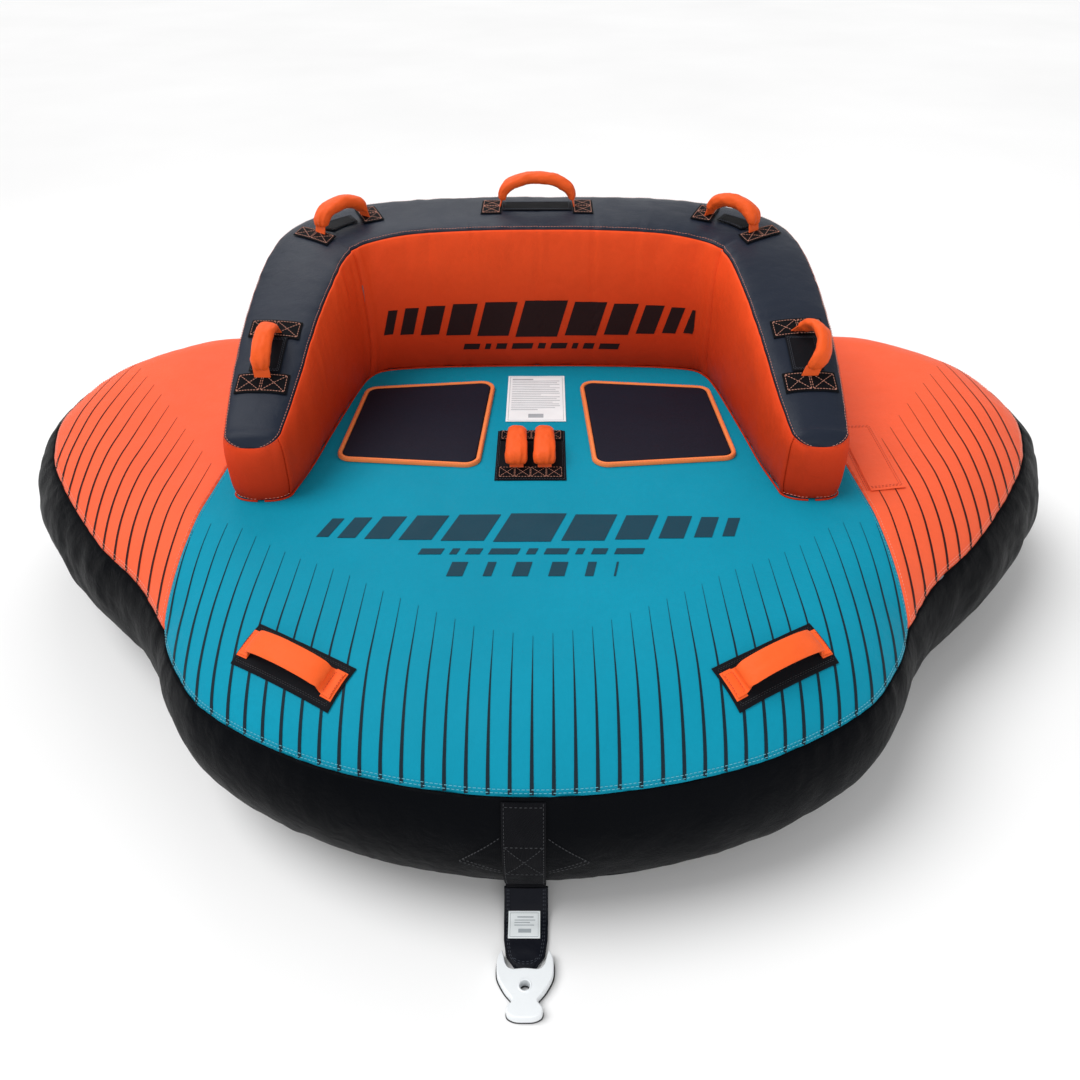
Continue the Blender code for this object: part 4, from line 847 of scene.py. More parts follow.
outer_run = np.r_[0, np.cumsum(np.linalg.norm(np.diff(R_OUT, axis=0), axis=1))]
inner_run -= inner_run[-1] / 2
outer_run -= outer_run[-1] / 2
B_OUT = np.full(n_rest, 0.007)
body_share = smoothstep(inner_run[-1] - 0.10, inner_run[-1] - 0.03, np.abs(inner_run))
B_IN = 0.014 - 0.007 * body_share
WIDTH = np.linalg.norm(R_OUT - R_IN, axis=1)
T_IN = R_IN + (R_MID - R_IN) * 0.015 + N_IN * (0.25 * B_IN)[:, None]
T_OUT = R_OUT + (R_MID - R_OUT) * 0.015 + N_OUT * (0.25 * B_OUT)[:, None]
FULL_W = np.where(R_CROWN < 0.999, np.linalg.norm(R_OUT - R_IN, axis=1)[15], WIDTH)


def wall(F, T, N, B, run, rows, inner):
    """One side wall from its foot on the deck up to the top panel's seam."""
    v = 0.5 - 0.5 * np.cos(np.linspace(0, 1, rows) * math.pi)
    v = 0.5 * v + 0.5 * np.linspace(0, 1, rows)
    low = top_z(F[:, 0], F[:, 1]) + wing_crown(F[:, 0], F[:, 1]) + FOOT_CLEAR * 0.4
    high = R_EDGE
    A = np.zeros((len(F), rows, 3))
    for k, q in enumerate(v):
        bow = (1 - (2 * q - 1) ** 4) + 0.25 * q ** 6
        base = F + (T - N * (0.25 * B)[:, None] - F) * smoothstep(0.5, 1.0, q)
        A[:, k, :2] = base + N * (B * bow)[:, None]
        A[:, k, 2] = low + (high - low) * q
    H = (high - low)[:, None]
    d_top, d_foot = H * (1 - v)[None, :], H * v[None, :]
    s = np.repeat(run[:, None], rows, 1)
    flat = lambda a, b, c: np.stack([s / a, d_top / b, np.full_like(s, c)], -1).reshape(-1, 3)
    f1 = fractal(flat(0.026, 0.16, 1.0), 41 + inner, 2).reshape(s.shape)
    f2 = fractal(flat(0.011, 0.08, 5.0), 47 + inner, 2).reshape(s.shape)
    f3 = fractal(flat(0.19, 0.22, 9.0), 53 + inner, 2).reshape(s.shape)
    lengths = 0.045 + 0.050 * (0.5 + 0.5 * noise(np.stack([s / 0.05, s * 0, s * 0 + 3], -1).reshape(-1, 3), 61).reshape(s.shape))
    hold = (0.30 + 0.70 * smoothstep(0.0, 0.020, d_top)) * (1.0 if inner else 0.45)
    move = (0.0046 * f1 * np.exp(-d_top / lengths) + 0.0016 * f2 * np.exp(-d_top / 0.030)) * hold + 0.0032 * f3 * smoothstep(-0.03, 0.05, d_top)
    move += 0.0030 * f1 * np.exp(-d_foot / 0.035) + 0.0014 * f2 * np.exp(-d_foot / 0.020)
    if inner:
        for x0, depth, length in ((0.004, 0.0046, 0.30), (0.138, 0.0046, 0.26), (-0.150, 0.0032, 0.12), (-0.255, 0.0034, 0.15), (0.245, 0.0030, 0.10)):
            x = A[:, 0, 0][:, None] + 0.004 * np.sin(d_top / 0.05)
            back = (A[:, 0, 1] > 0.45)[:, None]
            line = (x - x0)
            move += back * np.exp(-d_top / length) * (-depth * np.exp(-(line / 0.0045) ** 2) + 0.0016 * np.exp(-((line - 0.011) / 0.010) ** 2))
        for sgn in (1, -1):
            at = np.argmin(np.abs(A[:, 0, 0] - sgn * 0.430) + np.abs(A[:, 0, 1] - 0.425))
            line = (s - run[at]) + 0.010 * np.sin(d_top / 0.11)
            move += -0.0064 * np.exp(-(line / 0.007) ** 2) * smoothstep(0.0, 0.05, d_foot) + 0.0022 * np.exp(-((np.abs(line) - 0.018) / 0.014) ** 2)
    move += -0.0018 * np.exp(-d_top / 0.005) - 0.0012 * np.exp(-d_foot / 0.006)
    nrm = grid_normals(A, wrap=False)
    if (nrm[:, rows // 2, :2] * N).sum() < 0:
        nrm = -nrm
    fade = np.minimum(1.0, (H / 0.12))
    return A + nrm * (move * fade)[..., None], A, nrm, v


ROWS_W = 40
W_IN, W_IN0, NW_IN, V_ROWS = wall(R_IN, T_IN, N_IN, B_IN, inner_run, ROWS_W, 1)
W_OUT, W_OUT0, NW_OUT, _v = wall(R_OUT, T_OUT, N_OUT, B_OUT, outer_run, ROWS_W, 0)

first_body = 15
inside_rows = slice(first_body - 4, n_rest - first_body + 4)
A = W_IN[inside_rows]
thicken(tidy(make("backrest_inner_cloth", A.reshape(-1, 3), grid_faces(len(A), ROWS_W), M_ORANGE, replaces=("backrest_inner_cover",), slot="orange_fabric", smooth=180)))

# the outer cover runs round both arm fronts
left_nose = W_IN[:first_body - 3][::-1]
right_nose = W_IN[n_rest - first_body + 3:][::-1]
A = np.concatenate([left_nose, W_OUT, right_nose], axis=0)
thicken(tidy(make("backrest_outer_cloth", A.reshape(-1, 3), grid_faces(len(A), ROWS_W), M_ORANGE, replaces=("backrest_outer_cover",), slot="orange_fabric", smooth=180)))

# top panel
COLS = 41
uu = np.sin(np.linspace(-1, 1, COLS) * math.pi / 2)
uu = 0.55 * uu + 0.45 * np.linspace(-1, 1, COLS)
tin, tout = W_IN[:, -1, :], W_OUT[:, -1, :]
P = (tin[:, None, :] + tout[:, None, :]) / 2 + (tout - tin)[:, None, :] / 2 * uu[None, :, None]
shape = np.sqrt(np.maximum(0.0, 1 - np.abs(uu) ** 2.2))
crown = crown_of(FULL_W)[:, None] * shape[None, :] * R_CROWN[:, None]
P[..., 2] += crown
mid_run = np.r_[0, np.cumsum(np.linalg.norm(np.diff(R_MID, axis=0), axis=1))]
mid_run -= mid_run[-1] / 2
s = np.repeat(mid_run[:, None], COLS, 1)
d_edge = (WIDTH[:, None] / 2) * (1 - np.abs(uu))[None, :]
side_tag = np.where(uu < 0, 0.0, 7.0)[None, :] + np.zeros_like(s)
f1 = fractal(np.stack([s / 0.022, d_edge / 0.08, side_tag], -1).reshape(-1, 3), 71, 2).reshape(s.shape)
f2 = fractal(np.stack([s / 0.009, d_edge / 0.05, side_tag + 2], -1).reshape(-1, 3), 73, 2).reshape(s.shape)
f3 = fractal(np.stack([P[..., 0] / 0.10, P[..., 1] / 0.10, P[..., 2] * 0], -1).reshape(-1, 3), 79, 2).reshape(s.shape)
nose_fade = smoothstep(0, 0.03, mid_run[-1] - np.abs(s))
move = (0.0020 * f1 * np.exp(-d_edge / 0.022) + 0.0009 * f2 * np.exp(-d_edge / 0.012)) * nose_fade + 0.0009 * f3 * smoothstep(0.0, 0.02, d_edge)
move += -0.0004 * np.exp(-d_edge / 0.004)
NT = grid_normals(P, wrap=False)
if NT[..., 2].sum() < 0:
    NT = -NT
edge_pin = smoothstep(0.0, 0.004, d_edge)
TOP = P + NT * (move * edge_pin)[..., None]
thicken(tidy(make("backrest_top_cloth", TOP.reshape(-1, 3), grid_faces(n_rest, COLS), M_CHARCOAL, replaces=("backrest_top_cover",), slot="charcoal_fabric", smooth=180)))

# stitching along the top seams and round the arms' feet
pinkr, darkr = Stitches(), Stitches()
for W, NW in ((W_IN, NW_IN), (W_OUT, NW_OUT)):
    k = ROWS_W - 2
    darkr.line(W[3:-3, k] + NW[3:-3, k] * 0.0008, NW[3:-3, k], width=0.0009)
for col in (2, COLS - 3):
    pinkr.line(TOP[2:-2, col] + NT[2:-2, col] * 0.0007, NT[2:-2, col], width=0.0008, dash=0.0046)
for W, NW in ((W_IN, NW_IN), (W_OUT, NW_OUT)):
    for end in (slice(0, 26), slice(n_rest - 26, n_rest)):
        pinkr.line(W[end, 3] + NW[end, 3] * 0.0008, NW[end, 3], width=0.0009)
darkr.build("backrest_seam_stitches", thread_mat("rust_thread", (0.42, 0.05, 0.02)))
pinkr.build("backrest_top_stitches", T_PINK)

# welted cord round the backrest's foot, sewn to the deck
for name, F, N in (("foot_welt_inner", R_IN, N_IN), ("foot_welt_outer", R_OUT, N_OUT)):
    q = F + N * 0.0035
    z = top_z(q[:, 0], q[:, 1]) + top_move(q[:, 0], q[:, 1]) + 0.0016
    line = np.column_stack([q, z])
    sides = 8
    tang = unit(np.gradient(line, axis=0))
    nn = top_normal(q[:, 0], q[:, 1])
    bb = unit(np.cross(tang, nn))
    ang = np.linspace(0, 2 * math.pi, sides, endpoint=False)
    R = line[:, None, :] + (np.cos(ang)[None, :, None] * bb[:, None, :] + np.sin(ang)[None, :, None] * nn[:, None, :]) * 0.0021
    verts = R.reshape(-1, 3)
    faces = []
    for i in range(len(line) - 1):
        for k in range(sides):
            a, b = i * sides + k, i * sides + (k + 1) % sides
            faces.append((a, b, b + sides, a + sides))
    faces += [tuple(range(sides))[::-1], tuple((len(line) - 1) * sides + k for k in range(sides))]
    tidy(make(name, verts, faces, M_ORANGE, slot="orange_fabric", smooth=80))


# ------------------------------------------------------- bars, guards and grips on the backrest
def rest_at(station, u):
    k = min(int(station), len(REST) - 2)
    t = station - k
    rows = [REST[max(k - 1, 0)], REST[k], REST[k + 1],
            REST[k + 2] if k + 2 < len(REST) else (-REST[-2][0], REST[-2][1], -REST[-2][2], REST[-2][3], REST[-2][4])]
    p0, p1, p2, p3 = (np.array(r) for r in rows)
    ix, iy, ox, oy, top = 0.5 * (2 * p1 + (p2 - p0) * t + (2 * p0 - 5 * p1 + 4 * p2 - p3) * t ** 2
                                 + (3 * p1 - p0 - 3 * p2 + p3) * t ** 3)
    inner, outer = Vector((ix, iy, 0)), Vector((ox, oy, 0))
    width = (outer - inner).length
    p = (inner + outer) / 2 + (outer - inner) / 2 * u
    p.z = top + crown_of(width) * math.sqrt(max(0.0, 1 - abs(u) ** 2.2))
    return p


def rest_frame(station):
    along = rest_at(station + 0.05, 0) - rest_at(station - 0.05, 0)
    across = rest_at(station, 0.3) - rest_at(station, -0.3)
    along.normalize()
    out = across.cross(along).normalized()
    if out.z < 0:
        out.negate()
    across = along.cross(out).normalized()
    if across.dot(rest_at(station, 0.3) - rest_at(station, -0.3)) < 0:
        across.negate()
    return along, across, out


def bar_map(station, s, shift=0.0):
    """Maps (a along the bar, b across it) to a point and a normal on the crown."""
    along, across, out = rest_frame(station)
    half_width = (rest_at(station, 1) - rest_at(station, -1)).length / 2

    def at(a, b):
        u = (a + shift) / half_width
        c = max(-0.95, min(0.95, u))
        p = rest_at(station, c)
        q = rest_at(station, max(-0.95, min(0.95, u + 0.04))) - rest_at(station, max(-0.95, min(0.95, u - 0.04)))
        n = q.cross(along).normalized()
        if n.z < 0:
            n.negate()
        p = p + along * b
        return np.array((p.x * s, p.y, p.z)), np.array((n.x * s, n.y, n.z))
    return at


def centre_bar_map(x0):
    def at(a, b):
        half_width = (REST[-1][3] - REST[-1][1]) / 2
        u = a / half_width
        x = x0 + b
        st = len(REST) - 1 - abs(x) / 0.15 - 0.001
        p = rest_at(st, u)
        q = rest_at(st, u + 0.04) - rest_at(st, u - 0.04)
        n = unit(np.array((0, -q.z, q.y)))
        return np.array((x, p.y, p.z)), n * (1 if n[2] > 0 else -1)
    return at


def map_grid(at, a0, a1, b0, b1, na, nb, sag=0.0):
    P, N = np.zeros((na, nb, 3)), np.zeros((na, nb, 3))
    for i, a in enumerate(np.linspace(a0, a1, na)):
        for j, b in enumerate(np.linspace(b0, b1, nb)):
            P[i, j], N[i, j] = at(a, b)
    return P, N


def frayed(P, N, seed, amount=0.0006):
    q = P.reshape(-1, 3)
    return P + N * (amount * fractal(q * 60, seed, 2)).reshape(P.shape[:2])[..., None]


def webbing_bar(name, at, a0, a1, width, lift, thick, seed, mat, body="tube", slot="black_webbing"):
    P, N = map_grid(at, a0, a1, -width / 2, width / 2, 29, 13)
    P = frayed(P, N, seed)
    verts, faces = closed_sheet(P, N, lift, thick, edge=thick * 0.45)
    return tidy(make(name + "_web", verts, faces, mat, body, replaces=(name,), slot=slot, smooth=50))


def boxes(bag, at, a0, a1, width, lift, cross=True, inset=0.004, **more):
    """A sewn box with a cross, in a strap's own coordinates."""
    w = width / 2 - inset
    corners = [(a0, -w), (a1, -w), (a1, w), (a0, w)]
    lines = [(corners[k], corners[(k + 1) % 4]) for k in range(4)]
    if cross:
        lines += [(corners[0], corners[2]), (corners[1], corners[3])]
    for (xa, ya), (xb, yb) in lines:
        pts, nrm = [], []
        for t in np.linspace(0, 1, 9):
            p, n = at(xa + (xb - xa) * t, ya + (yb - ya) * t)
            pts.append(p + n * lift)
            nrm.append(n)
        bag.line(pts, nrm, **more)


bag = Stitches()
guard_bag = Stitches()
WEB_W, WEB_T = 0.050, 0.0022
GRIPS = [("arm_left", 1, 0.90, 1.98, 0.108, 0.112, 0.75, 0.046), ("arm_right", -1, 0.90, 1.98, 0.108, 0.112, -0.10, 0.036),
         ("rear_left", 1, 4.74, 6.38, 0.120, 0.110, 0.25, 0.040), ("rear_right", -1, 4.74, 6.38, 0.120, 0.110, 0.10, 0.040)]
sleeves = []


def sleeve_mesh(a, b, up, rise, width, thick, end_width, s=1, rows=44, sides=26, shrink=0.86, power=0.85, end_h=0.010):
    """A padded tube arching from a to b, a little slim, ready to be blown up. Also gives its frame."""
    a, b, up = Vector(a), Vector(b), Vector(up).normalized()
    chord = b - a
    reach = chord.length
    chord.normalize()
    up = (up - chord * up.dot(chord)).normalized()
    side = chord.cross(up).normalized()
    middle = (a + b) / 2
    verts, centres = [], []
    for i in range(rows + 1):
        t = i / rows
        angle = math.pi * t
        x = -math.cos(angle) * reach / 2
        y = rise * math.sin(angle) ** power
        a0, a1 = max(0.0, angle - 1e-3), min(math.pi, angle + 1e-3)
        tangent = (chord * ((math.cos(a0) - math.cos(a1)) * reach / 2) + up * (rise * (math.sin(a1) ** power - math.sin(a0) ** power))).normalized()
        normal = side.cross(tangent).normalized()
        if normal.dot(up) < 0 and 0.1 < t < 0.9:
            normal.negate()
        if i in (0, rows):
            normal = -chord if i == 0 else chord
        swell = min(1.0, math.sin(angle) * 1.9) ** 0.6
        w = (end_width + (width - end_width) * swell) * shrink
        h = (end_h + (thick - end_h) * swell) * shrink
        centre = middle + chord * x + up * y
        centres.append(centre)
        for k in range(sides):
            c = 2 * math.pi * k / sides
            verts.append(centre + side * (w / 2 * math.copysign(abs(math.cos(c)) ** 0.8, math.cos(c))) + normal * (h / 2 * math.copysign(abs(math.sin(c)) ** 0.9, math.sin(c))))
    faces = [tuple(range(sides))[::-1], tuple(range(rows * sides, (rows + 1) * sides))]
    for i in range(rows):
        for k in range(sides):
            n = (k + 1) % sides
            faces.append((i * sides + k, i * sides + n, (i + 1) * sides + n, (i + 1) * sides + k))
    flip = lambda v: (v.x * s, v.y, v.z)
    verts = [flip(v) for v in verts]
    centres = np.array([flip(c) for c in centres])
    return verts, faces, centres


def leg(name, bottom, top, across, width, thick=0.003):
    """The flat webbing that comes out of a sleeve's end and is sewn down on its bar, a straight strip."""
    bottom, top = np.array(bottom, float), np.array(top, float)
    across = unit(across)
    way = top - bottom
    n = 9
    pts = bottom + way * np.linspace(0, 1, n)[:, None]
    nn = unit(np.cross(across, way))
    P = pts[:, None, :] + across[None, None, :] * (np.linspace(-0.5, 0.5, 7) * width)[None, :, None]
    N = np.broadcast_to(nn, P.shape)
    verts, faces = closed_sheet(P, N, -thick / 2, thick, edge=thick * 0.3)
    obj = tidy(make(name, verts, faces, M_OWEB, body=None, smooth=50, slot="orange_fabric"))
    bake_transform(obj)
    return obj


for label, s, front, rear, len_a, len_b, lean, rise in GRIPS:
    corner = label.startswith("rear")
    for end, station, length in (("front", front, len_a), ("rear", rear, len_b)):
        at = bar_map(station, s, 0.006 if corner else 0.0)
        lift = 0.0024 if corner else 0.0012
        webbing_bar(f"grip_bar_{label}_{end}", at, -length / 2, length / 2, WEB_W, lift, WEB_T, 11 + len(bag.verts) % 97, M_WEB)
        h = length / 2 - 0.005
        for a0, a1 in ((-h, -0.002), (0.002, h)):
            boxes(bag, at, a0, a1, WEB_W, lift + WEB_T + 0.0002, width=0.0011, dash=0.0046, gap=0.0018) if False else None
            w = WEB_W / 2 - 0.005
            for (xa, ya), (xb, yb) in (((a0, -w), (a1, -w)), ((a1, -w), (a1, w)), ((a1, w), (a0, w)), ((a0, w), (a0, -w)), ((a0, -w), (a1, w)), ((a1, -w), (a0, w))):
                pts, nrm = [], []
                for t in np.linspace(0, 1, 9):
                    p, n = at(xa + (xb - xa) * t, ya + (yb - ya) * t)
                    pts.append(p + n * (lift + WEB_T + 0.0003))
                    nrm.append(n)
                bag.line(pts, nrm, dash=0.0044, gap=0.0014, width=0.0013, height=0.0006)
    pa, pb = rest_at(front, 0), rest_at(rear, 0)
    # knuckle guard
    gw = 0.056 if corner else 0.066
    space = WEB_W / 2 + (0.014 if corner else 0.002)
    samples = [(rest_at(front + (rear - front) * k / 60, 0), rest_frame(front + (rear - front) * k / 60)) for k in range(61)]
    pts = np.array([np.array(p) for p, _ in samples])
    run = np.r_[0, np.cumsum(np.linalg.norm(np.diff(pts, axis=0), axis=1))]

    def guard_at(a, b, pts=pts, run=run, samples=samples, s=s):
        q = [np.interp(a, run, pts[:, c]) for c in range(3)]
        k = int(np.clip(round(a / run[-1] * 60), 0, 60))
        _, (al, ac, out) = samples[k]
        p = Vector(q) + ac * b
        return np.array((p.x * s, p.y, p.z)), np.array((out.x * s, out.y, out.z))
    a0, a1 = space, run[-1] - space
    P, N = map_grid(guard_at, a0, a1, -gw / 2, gw / 2, 33, 17)
    P = frayed(P, N, 5, 0.0004)
    bend = (0.0010 + 0.0 * P[..., 0])
    verts, faces = closed_sheet(P, N, 0.0026, 0.0014, edge=0.0008)
    tidy(make(f"knuckle_guard_{label}_pad", verts, faces, M_NEO, replaces=(f"knuckle_guard_{label}",), slot="neoprene", smooth=50))
    for inset in (0.0035, 0.0070):
        w = gw / 2 - inset
        cs = [(a0 + inset, -w), (a1 - inset, -w), (a1 - inset, w), (a0 + inset, w)]
        for k in range(4):
            (xa, ya), (xb, yb) = cs[k], cs[(k + 1) % 4]
            q = [guard_at(xa + (xb - xa) * t, ya + (yb - ya) * t) for t in np.linspace(0, 1, 9)]
            guard_bag.line([p + n * 0.0042 for p, n in q], [n for _, n in q], width=0.0009, dash=0.004, gap=0.0016)
    al, ac, out = rest_frame((front + rear) / 2)
    along = (pb - pa).normalized()
    lift = 0.014 if corner else 0.017
    ga = pa + along * (WEB_W / 2 - 0.004) + out * lift
    gb = pb - along * (WEB_W / 2 - 0.004) + out * lift
    if corner:
        ga = pa + along * (WEB_W / 2 - 0.006) + Vector((0, 0, lift + 0.004))
        gb = pb - along * (WEB_W / 2 - 0.006) + Vector((0, 0, lift + 0.004))
    way = out + ac * lean
    verts, faces, centres = sleeve_mesh(ga, gb, way, rise * (0.90 if corner else 0.99), 0.054 if corner else 0.047, 0.037 if corner else 0.026, 0.042 if corner else 0.031, s, end_h=0.018 if corner else 0.011)
    sleeves.append(["grip_" + label, verts, faces, centres])
    for k, (g, p) in enumerate(((ga, pa), (gb, pb))):
        sign = 1 if k == 0 else -1
        foot = p + along * (sign * (WEB_W / 2 - 0.012)) + out * 0.0036
        tip = g + way.normalized() * 0.010
        leg(f"grip_leg_{label}_{k}", (foot.x * s, foot.y, foot.z), (tip.x * s, tip.y, tip.z), (ac.x * s, ac.y, ac.z), 0.034)

CROWN = rest_at(len(REST) - 1.001, 0)
for end, x in (("left", 0.112), ("right", -0.112)):
    at = centre_bar_map(x)
    webbing_bar("grip_bar_rear_centre_" + end, at, -0.052, 0.048, WEB_W, 0.0012, WEB_T, 17, M_WEB)
    h = 0.046
    w = WEB_W / 2 - 0.005
    for a0, a1 in ((-0.048, -0.004), (0.0, 0.044)):
        for (xa, ya), (xb, yb) in (((a0, -w), (a1, -w)), ((a1, -w), (a1, w)), ((a1, w), (a0, w)), ((a0, w), (a0, -w)), ((a0, -w), (a1, w)), ((a1, -w), (a0, w))):
            q = [at(xa + (xb - xa) * t, ya + (yb - ya) * t) for t in np.linspace(0, 1, 9)]
            bag.line([p + n * (0.0012 + WEB_T + 0.0003) for p, n in q], [n for _, n in q], dash=0.0044, gap=0.0014, width=0.0013, height=0.0006)


def centre_guard(a, b):
    p, n = centre_bar_map(a)(b, 0.0)
    return p, n


P, N = map_grid(centre_guard, -0.085, 0.085, -0.033, 0.033, 35, 15)
P = frayed(P, N, 6, 0.0004)
verts, faces = closed_sheet(P, N, 0.0018, 0.0014, edge=0.0008)
tidy(make("knuckle_guard_rear_centre_pad", verts, faces, M_NEO, replaces=("knuckle_guard_rear_centre",), slot="neoprene", smooth=50))
for inset in (0.0035, 0.0070):
    cs = [(-0.085 + inset, -0.033 + inset), (0.085 - inset, -0.033 + inset), (0.085 - inset, 0.033 - inset), (-0.085 + inset, 0.033 - inset)]
    for k in range(4):
        (xa, ya), (xb, yb) = cs[k], cs[(k + 1) % 4]
        q = [centre_guard(xa + (xb - xa) * t, ya + (yb - ya) * t) for t in np.linspace(0, 1, 15)]
        guard_bag.line([p + n * 0.0034 for p, n in q], [n for _, n in q], width=0.0009, dash=0.004, gap=0.0016)
ga, gb = Vector((-0.086, CROWN.y, CROWN.z + 0.018)), Vector((0.086, CROWN.y, CROWN.z + 0.018))
verts, faces, centres = sleeve_mesh(ga, gb, (0, -0.05, 1), 0.052, 0.046, 0.032, 0.036, end_h=0.016)
sleeves.append(["grip_rear_centre", verts, faces, centres])
for k, g in enumerate((ga, gb)):
    x = g.x * 1.06
    z = centre_bar_map(x)(0.0, 0.0)[0][2]
    leg(f"grip_leg_rear_centre_{k}", (x, CROWN.y, z + 0.0030), (g.x * 0.97, g.y, g.z + 0.010), (0, 1, 0), 0.026)

# centre patch with its bars and the two short grips
MID_X, SURFACE = -0.0125, DECK + 0.0004


def flat_map(z):
    return lambda a, b: (np.array((a, b, z)), np.array((0.0, 0.0, 1.0)))


def rounded(corners, radius, steps=6, inset=0.0):
    pts = [Vector((x, y, 0)) for x, y in corners]
    area_ = sum(a.x * b.y - b.x * a.y for a, b in zip(pts, pts[1:] + pts[:1]))
    turn = 1 if area_ > 0 else -1
    out = []
    for i in range(len(pts)):
        before, here, after = pts[i - 1], pts[i], pts[(i + 1) % len(pts)]
        d1, d2 = (here - before).normalized(), (after - here).normalized()
        n1, n2 = Vector((-d1.y, d1.x, 0)) * turn, Vector((-d2.y, d2.x, 0)) * turn
        half = (n1 + n2).normalized()
        corner = here + half * (inset / half.dot(n1))
        r = max(radius - inset, 0.002)
        centre = corner + half * (r / half.dot(n1))
        for k in range(steps + 1):
            way = (n1 * (1 - k / steps) + n2 * (k / steps)).normalized()
            out.append((centre.x - way.x * r, centre.y - way.y * r))
    return np.array(out)


def ring_loft(name, rings, mat, body="tube", replaces=(), slot=None, cap_low=True, cap_high=True, smooth=45):
    """Closed solid from stacked rings with the same number of points."""
    n = len(rings[0])
    verts = np.vstack(rings)
    faces = []
    for r in range(len(rings) - 1):
        for k in range(n):
            a, b = r * n + k, r * n + (k + 1) % n
            faces.append((a, b, b + n, a + n))
    if cap_low:
        faces.append(tuple(range(n))[::-1])
    if cap_high:
        faces.append(tuple((len(rings) - 1) * n + k for k in range(n)))
    return tidy(make(name, verts, faces, mat, body, replaces=replaces, slot=slot, smooth=smooth))


def densify(loop_, step):
    return resample(np.vstack([loop_, loop_[:1]]), step)[:-1]


x0, x1 = MID_X - 0.077, MID_X + 0.077
gx = np.linspace(x0, x1, 40)
gy = np.linspace(-0.057, 0.151, 52)
P = np.zeros((40, 52, 3))
P[..., 0], P[..., 1] = gx[:, None], gy[None, :]
P[..., 2] = SURFACE
N = np.zeros_like(P)
N[..., 2] = 1
P[..., 2] += 0.0010 * (0.5 + 0.5 * fractal(P.reshape(-1, 3) * 40, 8, 2).reshape(40, 52))
verts, faces = closed_sheet(P, N, 0.0, 0.0014, edge=0.0009)
tidy(make("centre_patch_pad", verts, faces, M_NEO, replaces=("centre_patch",), slot="neoprene", smooth=50))
for inset in (0.0035, 0.0070):
    cs = [(x0 + inset, -0.057 + inset), (x1 - inset, -0.057 + inset), (x1 - inset, 0.151 - inset), (x0 + inset, 0.151 - inset)]
    for k in range(4):
        (xa, ya), (xb, yb) = cs[k], cs[(k + 1) % 4]
        guard_bag.line([(xa + (xb - xa) * t, ya + (yb - ya) * t, SURFACE + 0.0027) for t in (0, 0.5, 1)], [(0, 0, 1)] * 3, width=0.0009, dash=0.004, gap=0.0016)
MID_Z = SURFACE + 0.0030
for end, y0, y1 in (("front", -0.053, -0.008), ("rear", 0.105, 0.148)):
    at = lambda a, b, y0=y0, y1=y1: (np.array((MID_X + a, (y0 + y1) / 2 + b, MID_Z)), np.array((0.0, 0.0, 1.0)))
    webbing_bar("centre_bar_" + end, at, -0.071, 0.071, y1 - y0, 0.0, 0.0020, 23, M_WEB)
    w = (y1 - y0) / 2 - 0.004
    for c in range(4):
        a0, a1 = -0.067 + c * 0.034, -0.067 + (c + 1) * 0.034 - 0.002
        for (xa, ya), (xb, yb) in (((a0, -w), (a1, -w)), ((a1, -w), (a1, w)), ((a1, w), (a0, w)), ((a0, w), (a0, -w)), ((a0, -w), (a1, w)), ((a1, -w), (a0, w))):
            q = [at(xa + (xb - xa) * t, ya + (yb - ya) * t) for t in (0, 0.5, 1)]
            bag.line([p + n * 0.0025 for p, n in q], [n for _, n in q], dash=0.0040, gap=0.0014, width=0.0011, height=0.0006)
for end, x in (("left", MID_X + 0.0305), ("right", MID_X - 0.0305)):
    a, b = (x, -0.014, DECK + 0.0004 + 0.0020 + 0.014), (x, 0.108, DECK + 0.0004 + 0.0020 + 0.014)
    verts, faces, centres = sleeve_mesh(a, b, (0, 0, 1), 0.028, 0.053, 0.030, 0.049, end_h=0.015)
    verts = [(x + (v[0] - x) * (1.08 - 0.16 * float(smoothstep(-0.01, 0.10, v[1]))), v[1], v[2]) for v in verts]
    sleeves.append(["centre_grip_" + end, verts, faces, centres])
    for k, (g, foot_y) in enumerate((((x, -0.014), -0.0115), ((x, 0.108), 0.112))):
        leg(f"centre_grip_leg_{end}_{k}", (x, foot_y, MID_Z + (0.0004 if k == 0 else 0.0030)), (x, g[1] + (0.010 if k == 0 else -0.006), DECK + 0.0210), (1, 0, 0), 0.030)
bag.build("bar_stitches", T_BAR)


